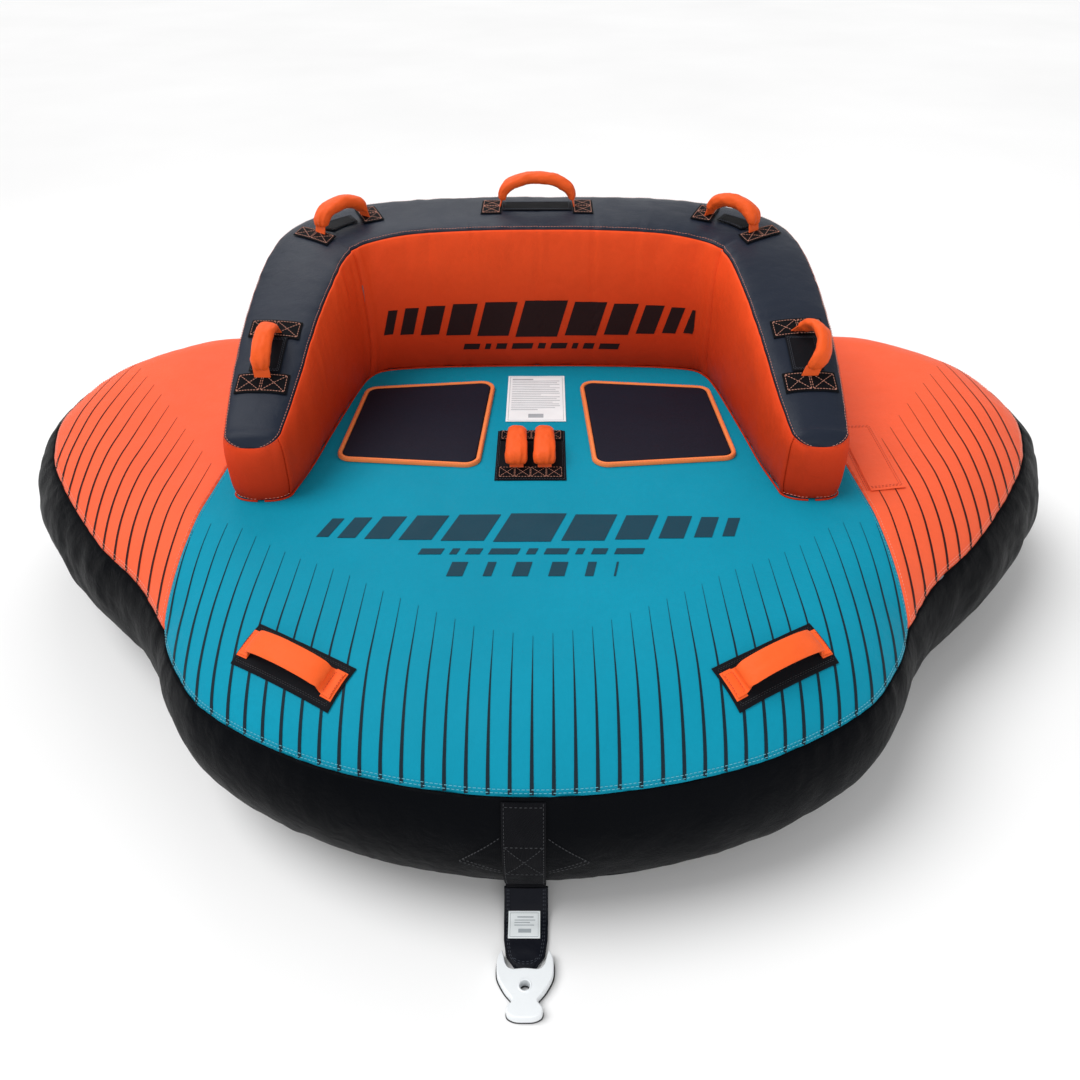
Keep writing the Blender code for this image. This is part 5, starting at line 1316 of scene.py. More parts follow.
# ------------------------------------------------------------ the padded sleeves, blown up as cloth
def blow(items, voxel=0.0036, pressure=4.0, cap=0.0050, frames=20):
    """Remeshes each sleeve, swells it as cloth under air pressure, and keeps every point within cap of where it began."""
    scene = bpy.context.scene
    sims = []
    for name, verts, faces, centres in items:
        mesh = bpy.data.meshes.new(name + "_sleeve")
        mesh.from_pydata([tuple(map(float, v)) for v in verts], [], faces)
        bm = bmesh.new()
        bm.from_mesh(mesh)
        bmesh.ops.recalc_face_normals(bm, faces=bm.faces)
        bm.to_mesh(mesh)
        bm.free()
        obj = bpy.data.objects.new(name + "_sleeve", mesh)
        scene.collection.objects.link(obj)
        mod = obj.modifiers.new("remesh", "REMESH")
        mod.mode = "VOXEL"
        mod.voxel_size = voxel
        graph = bpy.context.evaluated_depsgraph_get()
        new = bpy.data.meshes.new_from_object(obj.evaluated_get(graph))
        obj.modifiers.clear()
        obj.data = new
        sims.append((obj, name, centres))
    rests = {}
    for obj, name, centres in sims:
        co = np.array([v.co for v in obj.data.vertices])
        rests[name] = co
    for obj, name, centres in sims:
        co = rests[name]
        ends = np.minimum(np.linalg.norm(co - centres[0], axis=1), np.linalg.norm(co - centres[-1], axis=1))
        group = obj.vertex_groups.new(name="pin")
        for k, d in enumerate(ends):
            w = float(1 - smoothstep(0.008, 0.018, d))
            if w > 0.01:
                group.add([k], w, "REPLACE")
        cloth = obj.modifiers.new("cloth", "CLOTH")
        st = cloth.settings
        st.quality = 5
        st.mass = 0.25
        st.tension_stiffness = 18
        st.compression_stiffness = 18
        st.shear_stiffness = 6
        st.bending_stiffness = 0.25
        st.use_pressure = True
        st.uniform_pressure_force = pressure
        st.effector_weights.gravity = 0
        st.vertex_group_mass = "pin"
        cloth.point_cache.frame_start = 1
        cloth.point_cache.frame_end = frames
    for f in range(1, frames + 1):
        scene.frame_set(f)
    graph = bpy.context.evaluated_depsgraph_get()
    for obj, name, centres in sims:
        new = bpy.data.meshes.new_from_object(obj.evaluated_get(graph))
        co = np.array([v.co for v in new.vertices])
        start = rests[name]
        if len(co) == len(start) and np.isfinite(co).all():
            step = co - start
            far = np.linalg.norm(step, axis=1)
            step *= np.minimum(1.0, cap / np.maximum(far, 1e-9))[:, None]
            rests[name] = start + step
    scene.frame_set(1)
    out = []
    for obj, name, centres in sims:
        obj.modifiers.clear()
        obj.vertex_groups.clear()
        co = rests[name]
        # cloth gathers lengthwise at each end of the sleeve and a few slack folds between
        run = np.r_[0, np.cumsum(np.linalg.norm(np.diff(centres, axis=0), axis=1))]
        near = np.argmin(((co[:, None, :] - centres[None, :, :]) ** 2).sum(-1), axis=1)
        axis_dir = unit(np.gradient(centres, axis=0))[near]
        radial = co - centres[near]
        radial -= axis_dir * (radial * axis_dir).sum(1)[:, None]
        rdir = unit(radial)
        s_len = run[near]
        ref = unit(np.cross(centres[-1] - centres[0], centres[len(centres) // 2] - centres[0]) + 1e-9)
        ref2 = unit(np.cross(axis_dir, ref))
        ang = np.arctan2((rdir * ref).sum(1), (rdir * ref2).sum(1))
        ring = np.stack([np.cos(ang), np.sin(ang)], -1)
        end = np.minimum(s_len, run[-1] - s_len)
        gather = fractal(np.column_stack([ring * 3.4, s_len / 0.05]), 91, 2)
        slack = fractal(np.column_stack([ring * 1.5, s_len / 0.022]), 97, 3)
        move = 0.0040 * gather * np.exp(-end / 0.032) + 0.0026 * slack
        co = co + rdir * move[:, None]
        for v, c in zip(obj.data.vertices, co):
            v.co = c
        obj.data.update()
        sub = obj.modifiers.new("smooth", "SUBSURF")
        sub.levels = sub.render_levels = 1
        graph = bpy.context.evaluated_depsgraph_get()
        new = bpy.data.meshes.new_from_object(obj.evaluated_get(graph))
        obj.modifiers.clear()
        obj.data = new
        new.materials.clear()
        new.materials.append(M_SLEEVE)
        new.shade_smooth()
        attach(obj, name + "_body")
        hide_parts(name)
        out.append(obj)
    return out


SLEEVES = blow(sleeves)


# ----------------------------------------------------------------------- seat pads
for side, s in (("left", 1), ("right", -1)):
    corners = [(x * s, y) for x, y in PAD]
    outer = rounded(corners, 0.034, 14)
    inner = rounded(corners, 0.034, 14, inset=0.011)
    edge = rounded(corners, 0.034, 14, inset=0.0116)
    run = np.r_[0, np.cumsum(np.linalg.norm(np.diff(np.vstack([outer, outer[:1]]), axis=0), axis=1))]
    count = 220
    want = np.linspace(0, run[-1], count + 1)[:-1]

    def even(line):
        closed = np.vstack([line, line[:1]])
        return np.stack([np.interp(want, run, closed[:, c]) for c in range(2)], axis=1)
    outer, inner, edge = even(outer), even(inner), even(edge)
    wave = 0.0007 * fractal(np.column_stack([outer * 55, np.zeros(count)]), 7 + s, 2)[:, None]
    push = unit(outer - inner)
    rings = []
    for c in np.linspace(0.0, math.pi, 13):
        f = 0.5 - 0.5 * math.cos(c)
        q = outer * (1 - f) + inner * f + push * wave * math.sin(c)
        z = np.full(count, SURFACE + 0.0002 + 0.0088 * math.sin(c) ** 0.62) + wave[:, 0] * 0.5 * math.sin(c)
        rings.append(np.column_stack([q, z]))
    for f in (0.7, 0.3):
        rings.append(np.column_stack([outer * (1 - f) + inner * f, np.full(count, SURFACE + 0.0002)]))
    verts = np.vstack(rings)
    k = len(rings)
    faces = []
    for r in range(k):
        for i in range(count):
            a, b = r * count + i, r * count + (i + 1) % count
            c, d = ((r + 1) % k) * count + (i + 1) % count, ((r + 1) % k) * count + i
            faces.append((a, b, c, d))
    tidy(make("seat_piping_" + side + "_binding", verts, faces, M_PIPE, replaces=("seat_piping_" + side,), slot="piping", smooth=70))
    st = Stitches()
    mid = outer * 0.80 + inner * 0.20
    zz = SURFACE + 0.0088 * math.sin(math.acos(1 - 2 * 0.20)) ** 0.62
    st.line(np.column_stack([np.vstack([mid, mid[:1]]), np.full(count + 1, zz + 0.0004)]), [(0, 0, 1)] * (count + 1), width=0.0009, dash=0.0042)
    st.build("seat_piping_stitches_" + side, T_ORANGE)
    centre = edge.mean(0)
    rings = [np.column_stack([edge, np.full(count, SURFACE + 0.0002)]), np.column_stack([edge, np.full(count, SURFACE + 0.0055)]),
             np.column_stack([centre + (edge - centre) * 0.994, np.full(count, SURFACE + 0.0072)])]
    for share in (0.98, 0.95, 0.91, 0.86, 0.80, 0.73, 0.66, 0.58, 0.50, 0.42, 0.34, 0.26, 0.18, 0.10, 0.03):
        q = centre + (edge - centre) * share
        z = SURFACE + 0.0074 + 0.0022 * (1 - share ** 6) + 0.0011 * fractal(np.column_stack([q * 9, np.zeros(count)]), 15, 3)
        rings.append(np.column_stack([q, z]))
    pad = ring_loft("seat_pad_" + side + "_foam", rings, M_PAD, replaces=("seat_pad_" + side,), slot="foam_pad", smooth=70)

# deck label: a plain white film with grey lines
def plate(name, at, a0, a1, b0, b1, lift, thick, mat, body="tube", na=2, nb=2, edge=0.0, replaces=(), slot=None, smooth=40):
    P, N = map_grid(at, a0, a1, b0, b1, na, nb)
    verts, faces = closed_sheet(P, N, lift, thick, edge)
    return tidy(make(name, verts, faces, mat, body, replaces=replaces, slot=slot, smooth=smooth))


def joined(name, sheets, mat, body="tube", slot=None, smooth=40):
    verts, faces = [], []
    for v, f in sheets:
        faces += [tuple(k + len(verts) for k in q) for q in f]
        verts += [tuple(p) for p in v]
    return tidy(make(name, verts, faces, mat, body, slot=slot, smooth=smooth))


def label_at(a, b):
    z = DECK + 0.0007 + 0.0007 * float(noise(np.array([[a * 22, b * 22, 3.0]]), 4)[0] * 0.5 + 0.5)
    return np.array((a - 0.0030, b + 0.310, z)), np.array((0.0, 0.0, 1.0))


plate("deck_label_film", label_at, -0.071, 0.071, -0.116, 0.116, 0.0, 0.0006, M_LABEL, na=16, nb=24, replaces=("deck_label",), slot="label_white")
sheets = []
widths = [0.052, 0.118, 0.112, 0.118, 0.094, 0.118, 0.108, 0.116, 0.118, 0.072, 0.118, 0.110, 0.118, 0.100, 0.116, 0.118, 0.106, 0.064]
for k, w in enumerate(widths):
    b = 0.098 - k * 0.0092
    P, N = map_grid(label_at, -0.060, -0.060 + w, b - (0.0022 if k else 0.004), b + (0.0002 if k else 0.002), 14, 2)
    sheets.append(closed_sheet(P, N, 0.0007, 0.0002))
for a0, a1, b0, b1 in ((-0.066, 0.066, 0.1095, 0.1105), (-0.066, 0.066, -0.1105, -0.1095), (-0.066, -0.065, -0.1105, 0.1105), (0.065, 0.066, -0.1105, 0.1105)):
    P, N = map_grid(label_at, a0, a1, b0, b1, 14 if a1 - a0 > 0.1 else 2, 2 if b1 - b0 < 0.01 else 20)
    sheets.append(closed_sheet(P, N, 0.0007, 0.0002))
P, N = map_grid(label_at, -0.018, 0.018, -0.098, -0.080, 5, 3)
sheets.append(closed_sheet(P, N, 0.0007, 0.0002))
joined("deck_label_lines", sheets, M_INK, slot="label_white", smooth=0)


# ------------------------------------------------------------- generic printed motif
def slanted(at, x0, x1, z0, z1, slant, lift, step=0.009):
    na, nb = max(2, int((x1 - x0) / step) + 1), max(2, int((z1 - z0) / step) + 1)
    P, N = np.zeros((na, nb, 3)), np.zeros((na, nb, 3))
    for i, a in enumerate(np.linspace(x0, x1, na)):
        for j, b in enumerate(np.linspace(z0, z1, nb)):
            P[i, j], N[i, j] = at(a + slant * (b - z0), b)
    return closed_sheet(P, N, lift, 0.0004)


back_rows = [i for i in range(n_rest) if W_IN0[i, 0, 1] > 0.44 and abs(W_IN0[i, 0, 0]) < 0.40]
back_x = W_IN[back_rows, ROWS_W // 2, 0]
if back_x[0] > back_x[-1]:
    back_rows = back_rows[::-1]
    back_x = back_x[::-1]
back_rows = np.array(back_rows)


def back_at(x, z):
    f = float(np.interp(x, back_x, np.arange(len(back_x))))
    i = min(int(f), len(back_x) - 2)
    t = f - i
    out = []
    for r in (back_rows[i], back_rows[i + 1]):
        col = W_IN[r]
        k = np.interp(z, col[:, 2], np.arange(ROWS_W))
        j = min(int(k), ROWS_W - 2)
        q = k - j
        out.append((col[j] * (1 - q) + col[j + 1] * q, NW_IN[r, j] * (1 - q) + NW_IN[r, j + 1] * q))
    return out[0][0] * (1 - t) + out[1][0] * t, unit(out[0][1] * (1 - t) + out[1][1] * t)


def deck_at(x, y):
    p, n = on_top(np.array([x]), np.array([y]), 0.0)
    return p[0], n[0]


def motif(at, cx, base, top, total, slant, lift):
    """Leaning bars that thin out on both sides of a broad middle bar."""
    shares = [0.16, 0.12, 0.092, 0.070, 0.050, 0.034]
    sheets, gap = [], 0.028 * total
    height = top - base
    lean = slant * height
    x = cx - shares[0] * total / 2 - lean / 2
    sheets.append(slanted(at, x, x + shares[0] * total, base, top, slant, lift))
    right, left = x + shares[0] * total + gap, x - gap
    for k, w in enumerate(shares[1:]):
        shrink = height * 0.07 * (k + 1)
        b, t = base + shrink * 0.5, top - shrink * 0.5
        off = slant * shrink * 0.5
        sheets.append(slanted(at, right + off, right + off + w * total, b, t, slant, lift))
        sheets.append(slanted(at, left + off - w * total, left + off, b, t, slant, lift))
        right += w * total + gap
        left -= w * total + gap
    return sheets


def dashes(at, x0, x1, base, top, slant, lift, pattern):
    sheets, x, k = [], x0, 0
    while x < x1:
        w = pattern[k % len(pattern)]
        sheets.append(slanted(at, x, min(x + w, x1), base, top, slant, lift))
        x += w + (top - base) * 0.9
        k += 1
    return sheets


joined("backrest_print", motif(back_at, 0.010, 0.508, 0.604, 0.66, 0.28, 0.0024)
       + dashes(back_at, -0.190, 0.205, 0.474, 0.490, 0.28, 0.0024, (0.040, 0.014, 0.026, 0.052, 0.018)), M_PRINT_R, slot="black_fabric", smooth=0)
joined("deck_print", motif(deck_at, -0.010, -0.272, -0.178, 0.70, 0.35, 0.0007)
       + dashes(deck_at, -0.225, 0.205, -0.312, -0.294, 0.35, 0.0007, (0.044, 0.014, 0.028, 0.056, 0.018))
       + dashes(deck_at, -0.165, 0.150, -0.378, -0.336, 0.20, 0.0007, (0.030, 0.016, 0.030)), M_PRINT_D, slot="teal_fabric", smooth=0)


# ---------------------------------------------------------------- bow handles
DG, TURN = (0.4055, -0.594), math.radians(-30.5)
ALONG = np.array([math.cos(TURN), -math.sin(TURN)])
DOWN = np.array([-math.sin(TURN), -math.cos(TURN)])
if DOWN[1] > 0:
    DOWN = -DOWN


def handle_map(s):
    def at(a, b):
        q = np.array(DG) + ALONG * a + DOWN * (b * 0.93)
        n = top_normal(q[:1], q[1:2])[0]
        z = float(top_z(q[0], q[1]))
        return np.array((q[0] * s, q[1], z)), np.array((n[0] * s, n[1], n[2]))
    return at


bow_bag, tab_bag = Stitches(), Stitches()
for side, s in (("left", 1), ("right", -1)):
    at = handle_map(s)
    P, N = map_grid(at, -0.108, 0.108, -0.042, 0.042, 45, 21)
    P = frayed(P, N, 51, 0.0005)
    aa, bb = np.meshgrid(np.linspace(-0.108, 0.108, 45), np.linspace(-0.042, 0.042, 21), indexing="ij")
    rim = np.minimum(0.108 - np.abs(aa), 0.042 - np.abs(bb))
    P = P + N * (0.0014 * np.exp(-((rim - 0.0035) / 0.0030) ** 2) + 0.0012 * (1 - np.clip(rim / 0.03, 0, 1)) * 0)[..., None]
    verts, faces = closed_sheet(P, N, 0.0010, 0.0022, edge=0.0012)
    tidy(make("deck_patch_" + side + "_pad", verts, faces, M_NEO, replaces=("deck_patch_" + side,), slot="neoprene", smooth=60))
    for inset in (0.0072, 0.0100):
        cs = [(-0.108 + inset, -0.042 + inset), (0.108 - inset, -0.042 + inset), (0.108 - inset, 0.042 - inset), (-0.108 + inset, 0.042 - inset)]
        for k in range(4):
            (xa, ya), (xb, yb) = cs[k], cs[(k + 1) % 4]
            q = [at(xa + (xb - xa) * t, ya + (yb - ya) * t) for t in np.linspace(0, 1, 13)]
            bow_bag.line([p + n * 0.0036 for p, n in q], [n for _, n in q], width=0.0009, dash=0.004, gap=0.0016)
    for tab, a0, a1 in (("inner", -0.104, -0.0815), ("outer", 0.0815, 0.104)):
        P, N = map_grid(at, a0, a1, -0.026, 0.026, 11, 21)
        P = frayed(P, N, 57, 0.0004)
        verts, faces = closed_sheet(P, N, 0.0044, 0.0022, edge=0.0010)
        tidy(make(f"strap_tab_{tab}_{side}_web", verts, faces, M_OWEB, replaces=(f"strap_tab_{tab}_{side}",), slot="orange_fabric", smooth=50))
    reach, lift0 = 0.080, 0.016
    ends = [at(-reach, 0), at(reach, 0)]
    a3, b3 = ends[0][0] + ends[0][1] * lift0, ends[1][0] + ends[1][1] * lift0
    mid = (a3 + b3) / 2
    chord = unit(b3 - a3)
    nm = at(0, 0)[1]
    nm = unit(nm - chord * (nm @ chord))
    acr = unit(np.cross(chord, nm))
    length = np.linalg.norm(b3 - a3)
    rows, P, N = 41, [], []
    for k in range(rows):
        t = k / (rows - 1)
        ang = math.pi * t
        p = mid - chord * (math.cos(ang) * length / 2) + nm * (0.030 * math.sin(ang) ** 0.9)
        n = unit(nm - chord * (0.5 * math.cos(ang)))
        w = 0.038 + 0.006 * min(1.0, math.sin(ang) * 2.2)
        bb = np.linspace(-1, 1, 15)
        cup = -0.0022 * bb ** 2 * math.sin(ang) + 0.0007 * noise(np.column_stack([np.full(15, t * 9), bb * 2, np.full(15, s * 3.0)]), 63)
        P.append(p + acr * (bb * w / 2)[:, None] + n * cup[:, None])
        N.append(np.tile(n, (15, 1)))
    P, N = np.array(P), np.array(N)
    verts, faces = closed_sheet(P, N, -0.0016, 0.0032, edge=0.0010)
    strap = tidy(make("deck_strap_" + side + "_web", verts, faces, M_OWEB, "deck_strap_" + side + "_body", replaces=("deck_strap_" + side,), slot="orange_fabric", smooth=50))
    for k, sgn in enumerate((-1, 1)):
        p0, n0 = at(sgn * 0.101, 0)
        p1, n1 = at(sgn * 0.0815, 0)
        bottom = p0 + n0 * 0.0078
        knee = p1 + n1 * 0.0082
        tip = (a3 if sgn < 0 else b3) + nm * 0.0055 + chord * (-sgn) * 0.0045
        line = path_of([bottom, (bottom + knee) / 2, knee, (knee * 0.45 + tip * 0.55) + nm * -0.0015, tip], 0.0022)
        across = unit(at(sgn * 0.09, 0.01)[0] - at(sgn * 0.09, -0.01)[0])
        tang = unit(np.gradient(line, axis=0))
        nn = unit(np.cross(across, tang))
        if (nn @ nm).sum() < 0:
            nn = -nn
        w = np.interp(np.linspace(0, 1, len(line)), [0, 0.5, 1], [0.048, 0.047, 0.040])
        P = line[:, None, :] + across[None, None, :] * (np.linspace(-0.5, 0.5, 13)[None, :, None] * w[:, None, None])
        N = np.repeat(nn[:, None, :], 13, 1)
        verts, faces = closed_sheet(P, N, -0.0013, 0.0026, edge=0.0008)
        obj = tidy(make(f"deck_strap_leg_{side}_{k}", verts, faces, M_OWEB, None, smooth=60, slot="orange_fabric"))
        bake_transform(obj)
        cs = [(0.0845, -0.018), (0.100, -0.018), (0.100, 0.018), (0.0845, 0.018)]
        for q in range(4):
            (xa, ya), (xb, yb) = cs[q], cs[(q + 1) % 4]
            pts = [at(sgn * (xa + (xb - xa) * t), ya + (yb - ya) * t) for t in np.linspace(0, 1, 5)]
            tab_bag.line([p + n * 0.0094 for p, n in pts], [n for _, n in pts], width=0.0010, dash=0.0038, gap=0.0014)
bow_bag.build("bow_patch_stitches", T_BLACK)
guard_bag.build("guard_stitches", T_DARK)
tab_bag.build("bow_strap_stitches", thread_mat("deep_orange_thread", (0.62, 0.045, 0.012)))


# ------------------------------------------------------------------- towing gear
TOW_X = -0.015


def bow_at(angle, x=TOW_X):
    a = math.radians(angle)
    upper = DECK - EDGE_H if angle > 0 else EDGE_H
    n = unit(np.array((0, -math.cos(a) / EDGE_R, math.sin(a) / upper)))
    dy = 0.55 * (x ** 2)
    return np.array((x, -0.837 + dy + EDGE_R * (1 - math.cos(a)), EDGE_H + math.sin(a) * upper)), n


angles = np.linspace(30, -33, 40)
P = np.zeros((40, 15, 3))
N = np.zeros_like(P)
for i, a in enumerate(angles):
    for j, u in enumerate(np.linspace(-0.035, 0.035, 15)):
        P[i, j], N[i, j] = bow_at(a, TOW_X + u)
P = frayed(P, N, 65, 0.0006)
verts, faces = closed_sheet(P, N, 0.0022, 0.0034, edge=0.0012)
tidy(make("tow_web_strap", verts, faces, M_WEB, replaces=("tow_web",), slot="black_webbing", smooth=50))
P, N = P[-6:], N[-6:]
line = [bow_at(-33)[0] + bow_at(-33)[1] * 0.004, bow_at(-40)[0] + bow_at(-40)[1] * 0.005, (TOW_X, -0.789, 0.066), (TOW_X, -0.783, 0.052)]
line = path_of(line, 0.004)
tang = unit(np.gradient(line, axis=0))
nn = unit(np.cross(tang, np.array((1.0, 0, 0))))
if nn[0, 1] > 0:
    nn = -nn
P = line[:, None, :] + np.array((1.0, 0, 0))[None, None, :] * (np.linspace(-0.035, 0.035, 11))[None, :, None]
N = np.repeat(nn[:, None, :], 11, 1)
verts, faces = closed_sheet(P, N, -0.0017, 0.0034, edge=0.0010)
obj = tidy(make("tow_web_lower", verts, faces, M_WEB, None, smooth=50, slot="black_webbing"))
tuple(line[2])
tuple(line[-1])
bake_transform(obj)
tow_bag = Stitches()
for u in (-0.031, 0.031):
    q = [bow_at(a, TOW_X + u) for a in angles]
    tow_bag.line([p + n * 0.0059 for p, n in q], [n for _, n in q], width=0.0010, dash=0.0045)
for u0, u1, a0, a1 in ((-0.031, 0.031, 28, 28), (-0.031, 0.031, 8, 8), (-0.031, 0.031, -12, -12), (-0.031, 0.031, 8, -12), (0.031, -0.031, 8, -12)):
    q = [bow_at(a0 + (a1 - a0) * t, TOW_X + u0 + (u1 - u0) * t) for t in np.linspace(0, 1, 14)]
    tow_bag.line([p + n * 0.0059 for p, n in q], [n for _, n in q], width=0.0012, dash=0.0045)
for sgn in (-1, 1):
    for grow in (0.0, 0.006):
        tri = [(sgn * (0.038), 12), (sgn * (0.100 + grow), -4 - grow * 300), (sgn * 0.038, -12 - grow * 300)]
        for k in range(2):
            (ua, aa_), (ub, ab_) = tri[k], tri[k + 1]
            q = [bow_at(aa_ + (ab_ - aa_) * t, TOW_X + ua + (ub - ua) * t) for t in np.linspace(0, 1, 10)]
            tow_bag.line([p + n * 0.0012 for p, n in q], [n for _, n in q], width=0.0012, dash=0.0045)
tow_bag.build("tow_web_stitches", T_BLACK)

TAIL = [(-0.781, 0.049), (-0.789, 0.033), (-0.798, 0.0195), (-0.809, 0.0105), (-0.824, 0.0064), (-0.855, 0.0054), (-0.882, 0.0054), (-0.906, 0.0054)]
TAIL_W = [0.077, 0.077, 0.077, 0.077, 0.077, 0.075, 0.067, 0.052]
line = path_of([(TOW_X, y, z) for y, z in TAIL], 0.0022)
run = np.r_[0, np.cumsum(np.linalg.norm(np.diff(line, axis=0), axis=1))]
key = np.array([run[np.argmin(np.linalg.norm(line - np.array((TOW_X, y, z)), axis=1))] for y, z in TAIL])
half_w = np.interp(run, key, TAIL_W) / 2
end_in = run[-1] - run
half_w = half_w * np.sqrt(np.clip(end_in / 0.020, 0.0, 1.0) * 0.55 + 0.45)
tang = unit(np.gradient(line, axis=0))
nn = unit(np.cross(np.array((1.0, 0, 0)), tang))
nn = np.where(nn[:, 2:3] < 0, -nn, nn)
sides = 40
ang = np.linspace(0, 2 * math.pi, sides, endpoint=False)
cx = np.sign(np.cos(ang)) * np.abs(np.cos(ang)) ** 0.45
sz = np.sign(np.sin(ang)) * np.abs(np.sin(ang)) ** 0.75
rings = []
for i in range(len(line)):
    puff = 1.0 + 0.10 * math.sin(min(1.0, end_in[i] / 0.03) * math.pi / 2)
    thick = 0.0049 * puff * (0.55 + 0.45 * min(1.0, end_in[i] / 0.008))
    q = line[i] + np.outer(cx * half_w[i], (1, 0, 0)) + np.outer(sz * thick, nn[i])
    seam = np.exp(-((np.abs(cx) - 0.86) / 0.05) ** 2) * (sz > 0)
    crease = 0.0007 * noise(np.column_stack([cx * 3, np.full(sides, run[i] / 0.016), sz]), 83)
    q = q + np.outer(np.where(sz > 0, -0.0012 * seam + crease, 0), nn[i])
    q[:, 2] = np.maximum(q[:, 2], 0.0004)
    rings.append(q)
M_STRAP = cover_fabric("navy_black_strap", (0.0052, 0.0062, 0.0110), 0.44, vary=0.2, sheen=0.0, wrinkle=0.45, spec=0.12)
tail = ring_loft("tow_strap_tail_pad", rings, M_STRAP, "tow_tail_body", replaces=("tow_strap_tail",), slot="black_fabric", smooth=60)
tail_bag = Stitches()
for inset in (0.0055, 0.0085):
    for sgn in (-1, 1):
        p = line[:-6] + np.outer(sgn * (half_w[:-6] - inset), (1, 0, 0)) + nn[:-6] * 0.0052
        tail_bag.line(p, nn[:-6], width=0.0010, dash=0.0042)
yy = np.linspace(-1, 1, 20)
for inset in (0.006, 0.010):
    arc = np.column_stack([TOW_X + yy * 0.020, -0.906 + inset + 0.0075 * (np.abs(yy) ** 2.5), np.full(20, 0.0112)])
    tail_bag.line(arc, [(0, 0, 1)] * 20, width=0.0010, dash=0.0042)
tail_bag.build("tow_strap_stitches", T_DARK, "tow_tail_body")

lab = path_of([(TOW_X - 0.003, y, z) for y, z in ((-0.806, 0.0122), (-0.814, 0.0092), (-0.824, 0.0066), (-0.838, 0.0058), (-0.855, 0.0054))], 0.003)
tang = unit(np.gradient(lab, axis=0))
ln = unit(np.cross(np.array((1.0, 0, 0)), tang))
ln = np.where(ln[:, 2:3] < 0, -ln, ln)


def lab_at(a, b):
    f = (0.5 - b) * (len(lab) - 1)
    i = min(int(f), len(lab) - 2)
    t = f - i
    p = lab[i] * (1 - t) + lab[i + 1] * t
    n = unit(ln[i] * (1 - t) + ln[i + 1] * t)
    return p + np.array((a, 0, 0)), n


plate("strap_label_film", lab_at, -0.0275, 0.0275, -0.5, 0.5, 0.0062, 0.0005, M_LABEL, "tow_tail_body", 9, 21, replaces=("strap_label",), slot="label_white")
sheets = []
for a0, a1, b0, b1 in ((-0.0245, 0.0245, 0.43, 0.445), (-0.0245, 0.0245, -0.445, -0.43), (-0.0245, -0.0239, -0.44, 0.44), (0.0239, 0.0245, -0.44, 0.44),
                       (-0.012, 0.016, 0.27, 0.31), (-0.017, 0.019, 0.16, 0.19), (-0.017, 0.010, 0.06, 0.09), (-0.017, 0.017, -0.04, -0.01), (-0.010, 0.012, -0.30, -0.16)):
    P, N = map_grid(lab_at, a0, a1, b0, b1, 3, 2 if b1 - b0 < 0.2 else 15)
    sheets.append(closed_sheet(P, N, 0.0068, 0.0002))
joined("strap_label_lines", sheets, M_INK, "tow_tail_body", slot="label_white", smooth=0)

HORN = [(0.0, 0.011), (0.022, 0.010), (0.032, 0.018), (0.039, 0.041), (0.046, 0.030), (0.0475, 0.012), (0.045, -0.004), (0.034, -0.024),
        (0.0225, -0.038), (0.0215, -0.044), (0.029, -0.054), (0.0275, -0.064), (0.016, -0.070), (0.0, -0.071)]
CY = -0.922


def smooth_closed(pts, step=0.0012):
    half = np.array(pts, float)
    whole = np.vstack([half, half[-2:0:-1] * (-1, 1)])
    n = len(whole)
    out = []
    for k in range(n):
        p0, p1, p2, p3 = whole[k - 1], whole[k], whole[(k + 1) % n], whole[(k + 2) % n]
        for t in np.linspace(0, 1, 16, endpoint=False):
            out.append(0.5 * (2 * p1 + (p2 - p0) * t + (2 * p0 - 5 * p1 + 4 * p2 - p3) * t ** 2 + (3 * p1 - p0 - 3 * p2 + p3) * t ** 3))
    out.append(out[0])
    return resample(np.array(out), step)[:-1]


horn = smooth_closed(HORN)
tn = np.roll(horn, -1, 0) - np.roll(horn, 1, 0)
hn = unit(np.stack([tn[:, 1], -tn[:, 0]], axis=1))
if (hn * (horn - horn.mean(0))).sum() < 0:
    hn = -hn
for _ in range(4):
    hn = unit(np.roll(hn, 1, 0) + 2 * hn + np.roll(hn, -1, 0))
horn_w = horn * (1, 1) + np.array((TOW_X, CY))


def apply_all(obj):
    graph = bpy.context.evaluated_depsgraph_get()
    new = bpy.data.meshes.new_from_object(obj.evaluated_get(graph))
    obj.modifiers.clear()
    obj.data = new
    return obj


def bore(obj, centre, axis_matrix, radius, depth=0.2):
    bm = bmesh.new()
    bmesh.ops.create_cone(bm, cap_ends=True, segments=48, radius1=radius, radius2=radius, depth=depth, matrix=Matrix.Translation(centre) @ axis_matrix)
    mesh = bpy.data.meshes.new("cutter")
    bm.to_mesh(mesh)
    bm.free()
    cutter = bpy.data.objects.new("cutter", mesh)
    bpy.context.scene.collection.objects.link(cutter)
    mod = obj.modifiers.new("bore", "BOOLEAN")
    mod.operation = "DIFFERENCE"
    mod.solver = "EXACT"
    mod.object = cutter
    bpy.context.view_layer.update()
    apply_all(obj)
    bpy.data.objects.remove(cutter, do_unlink=True)
    return obj


def plate_rings(z_in, grow=1.0):
    rings = []
    for z, inset in z_in:
        q = horn_w - hn * inset
        q = np.column_stack([TOW_X + (q[:, 0] - TOW_X) * grow, q[:, 1]])
        rings.append(np.column_stack([q, np.full(len(q), z)]))
    return rings


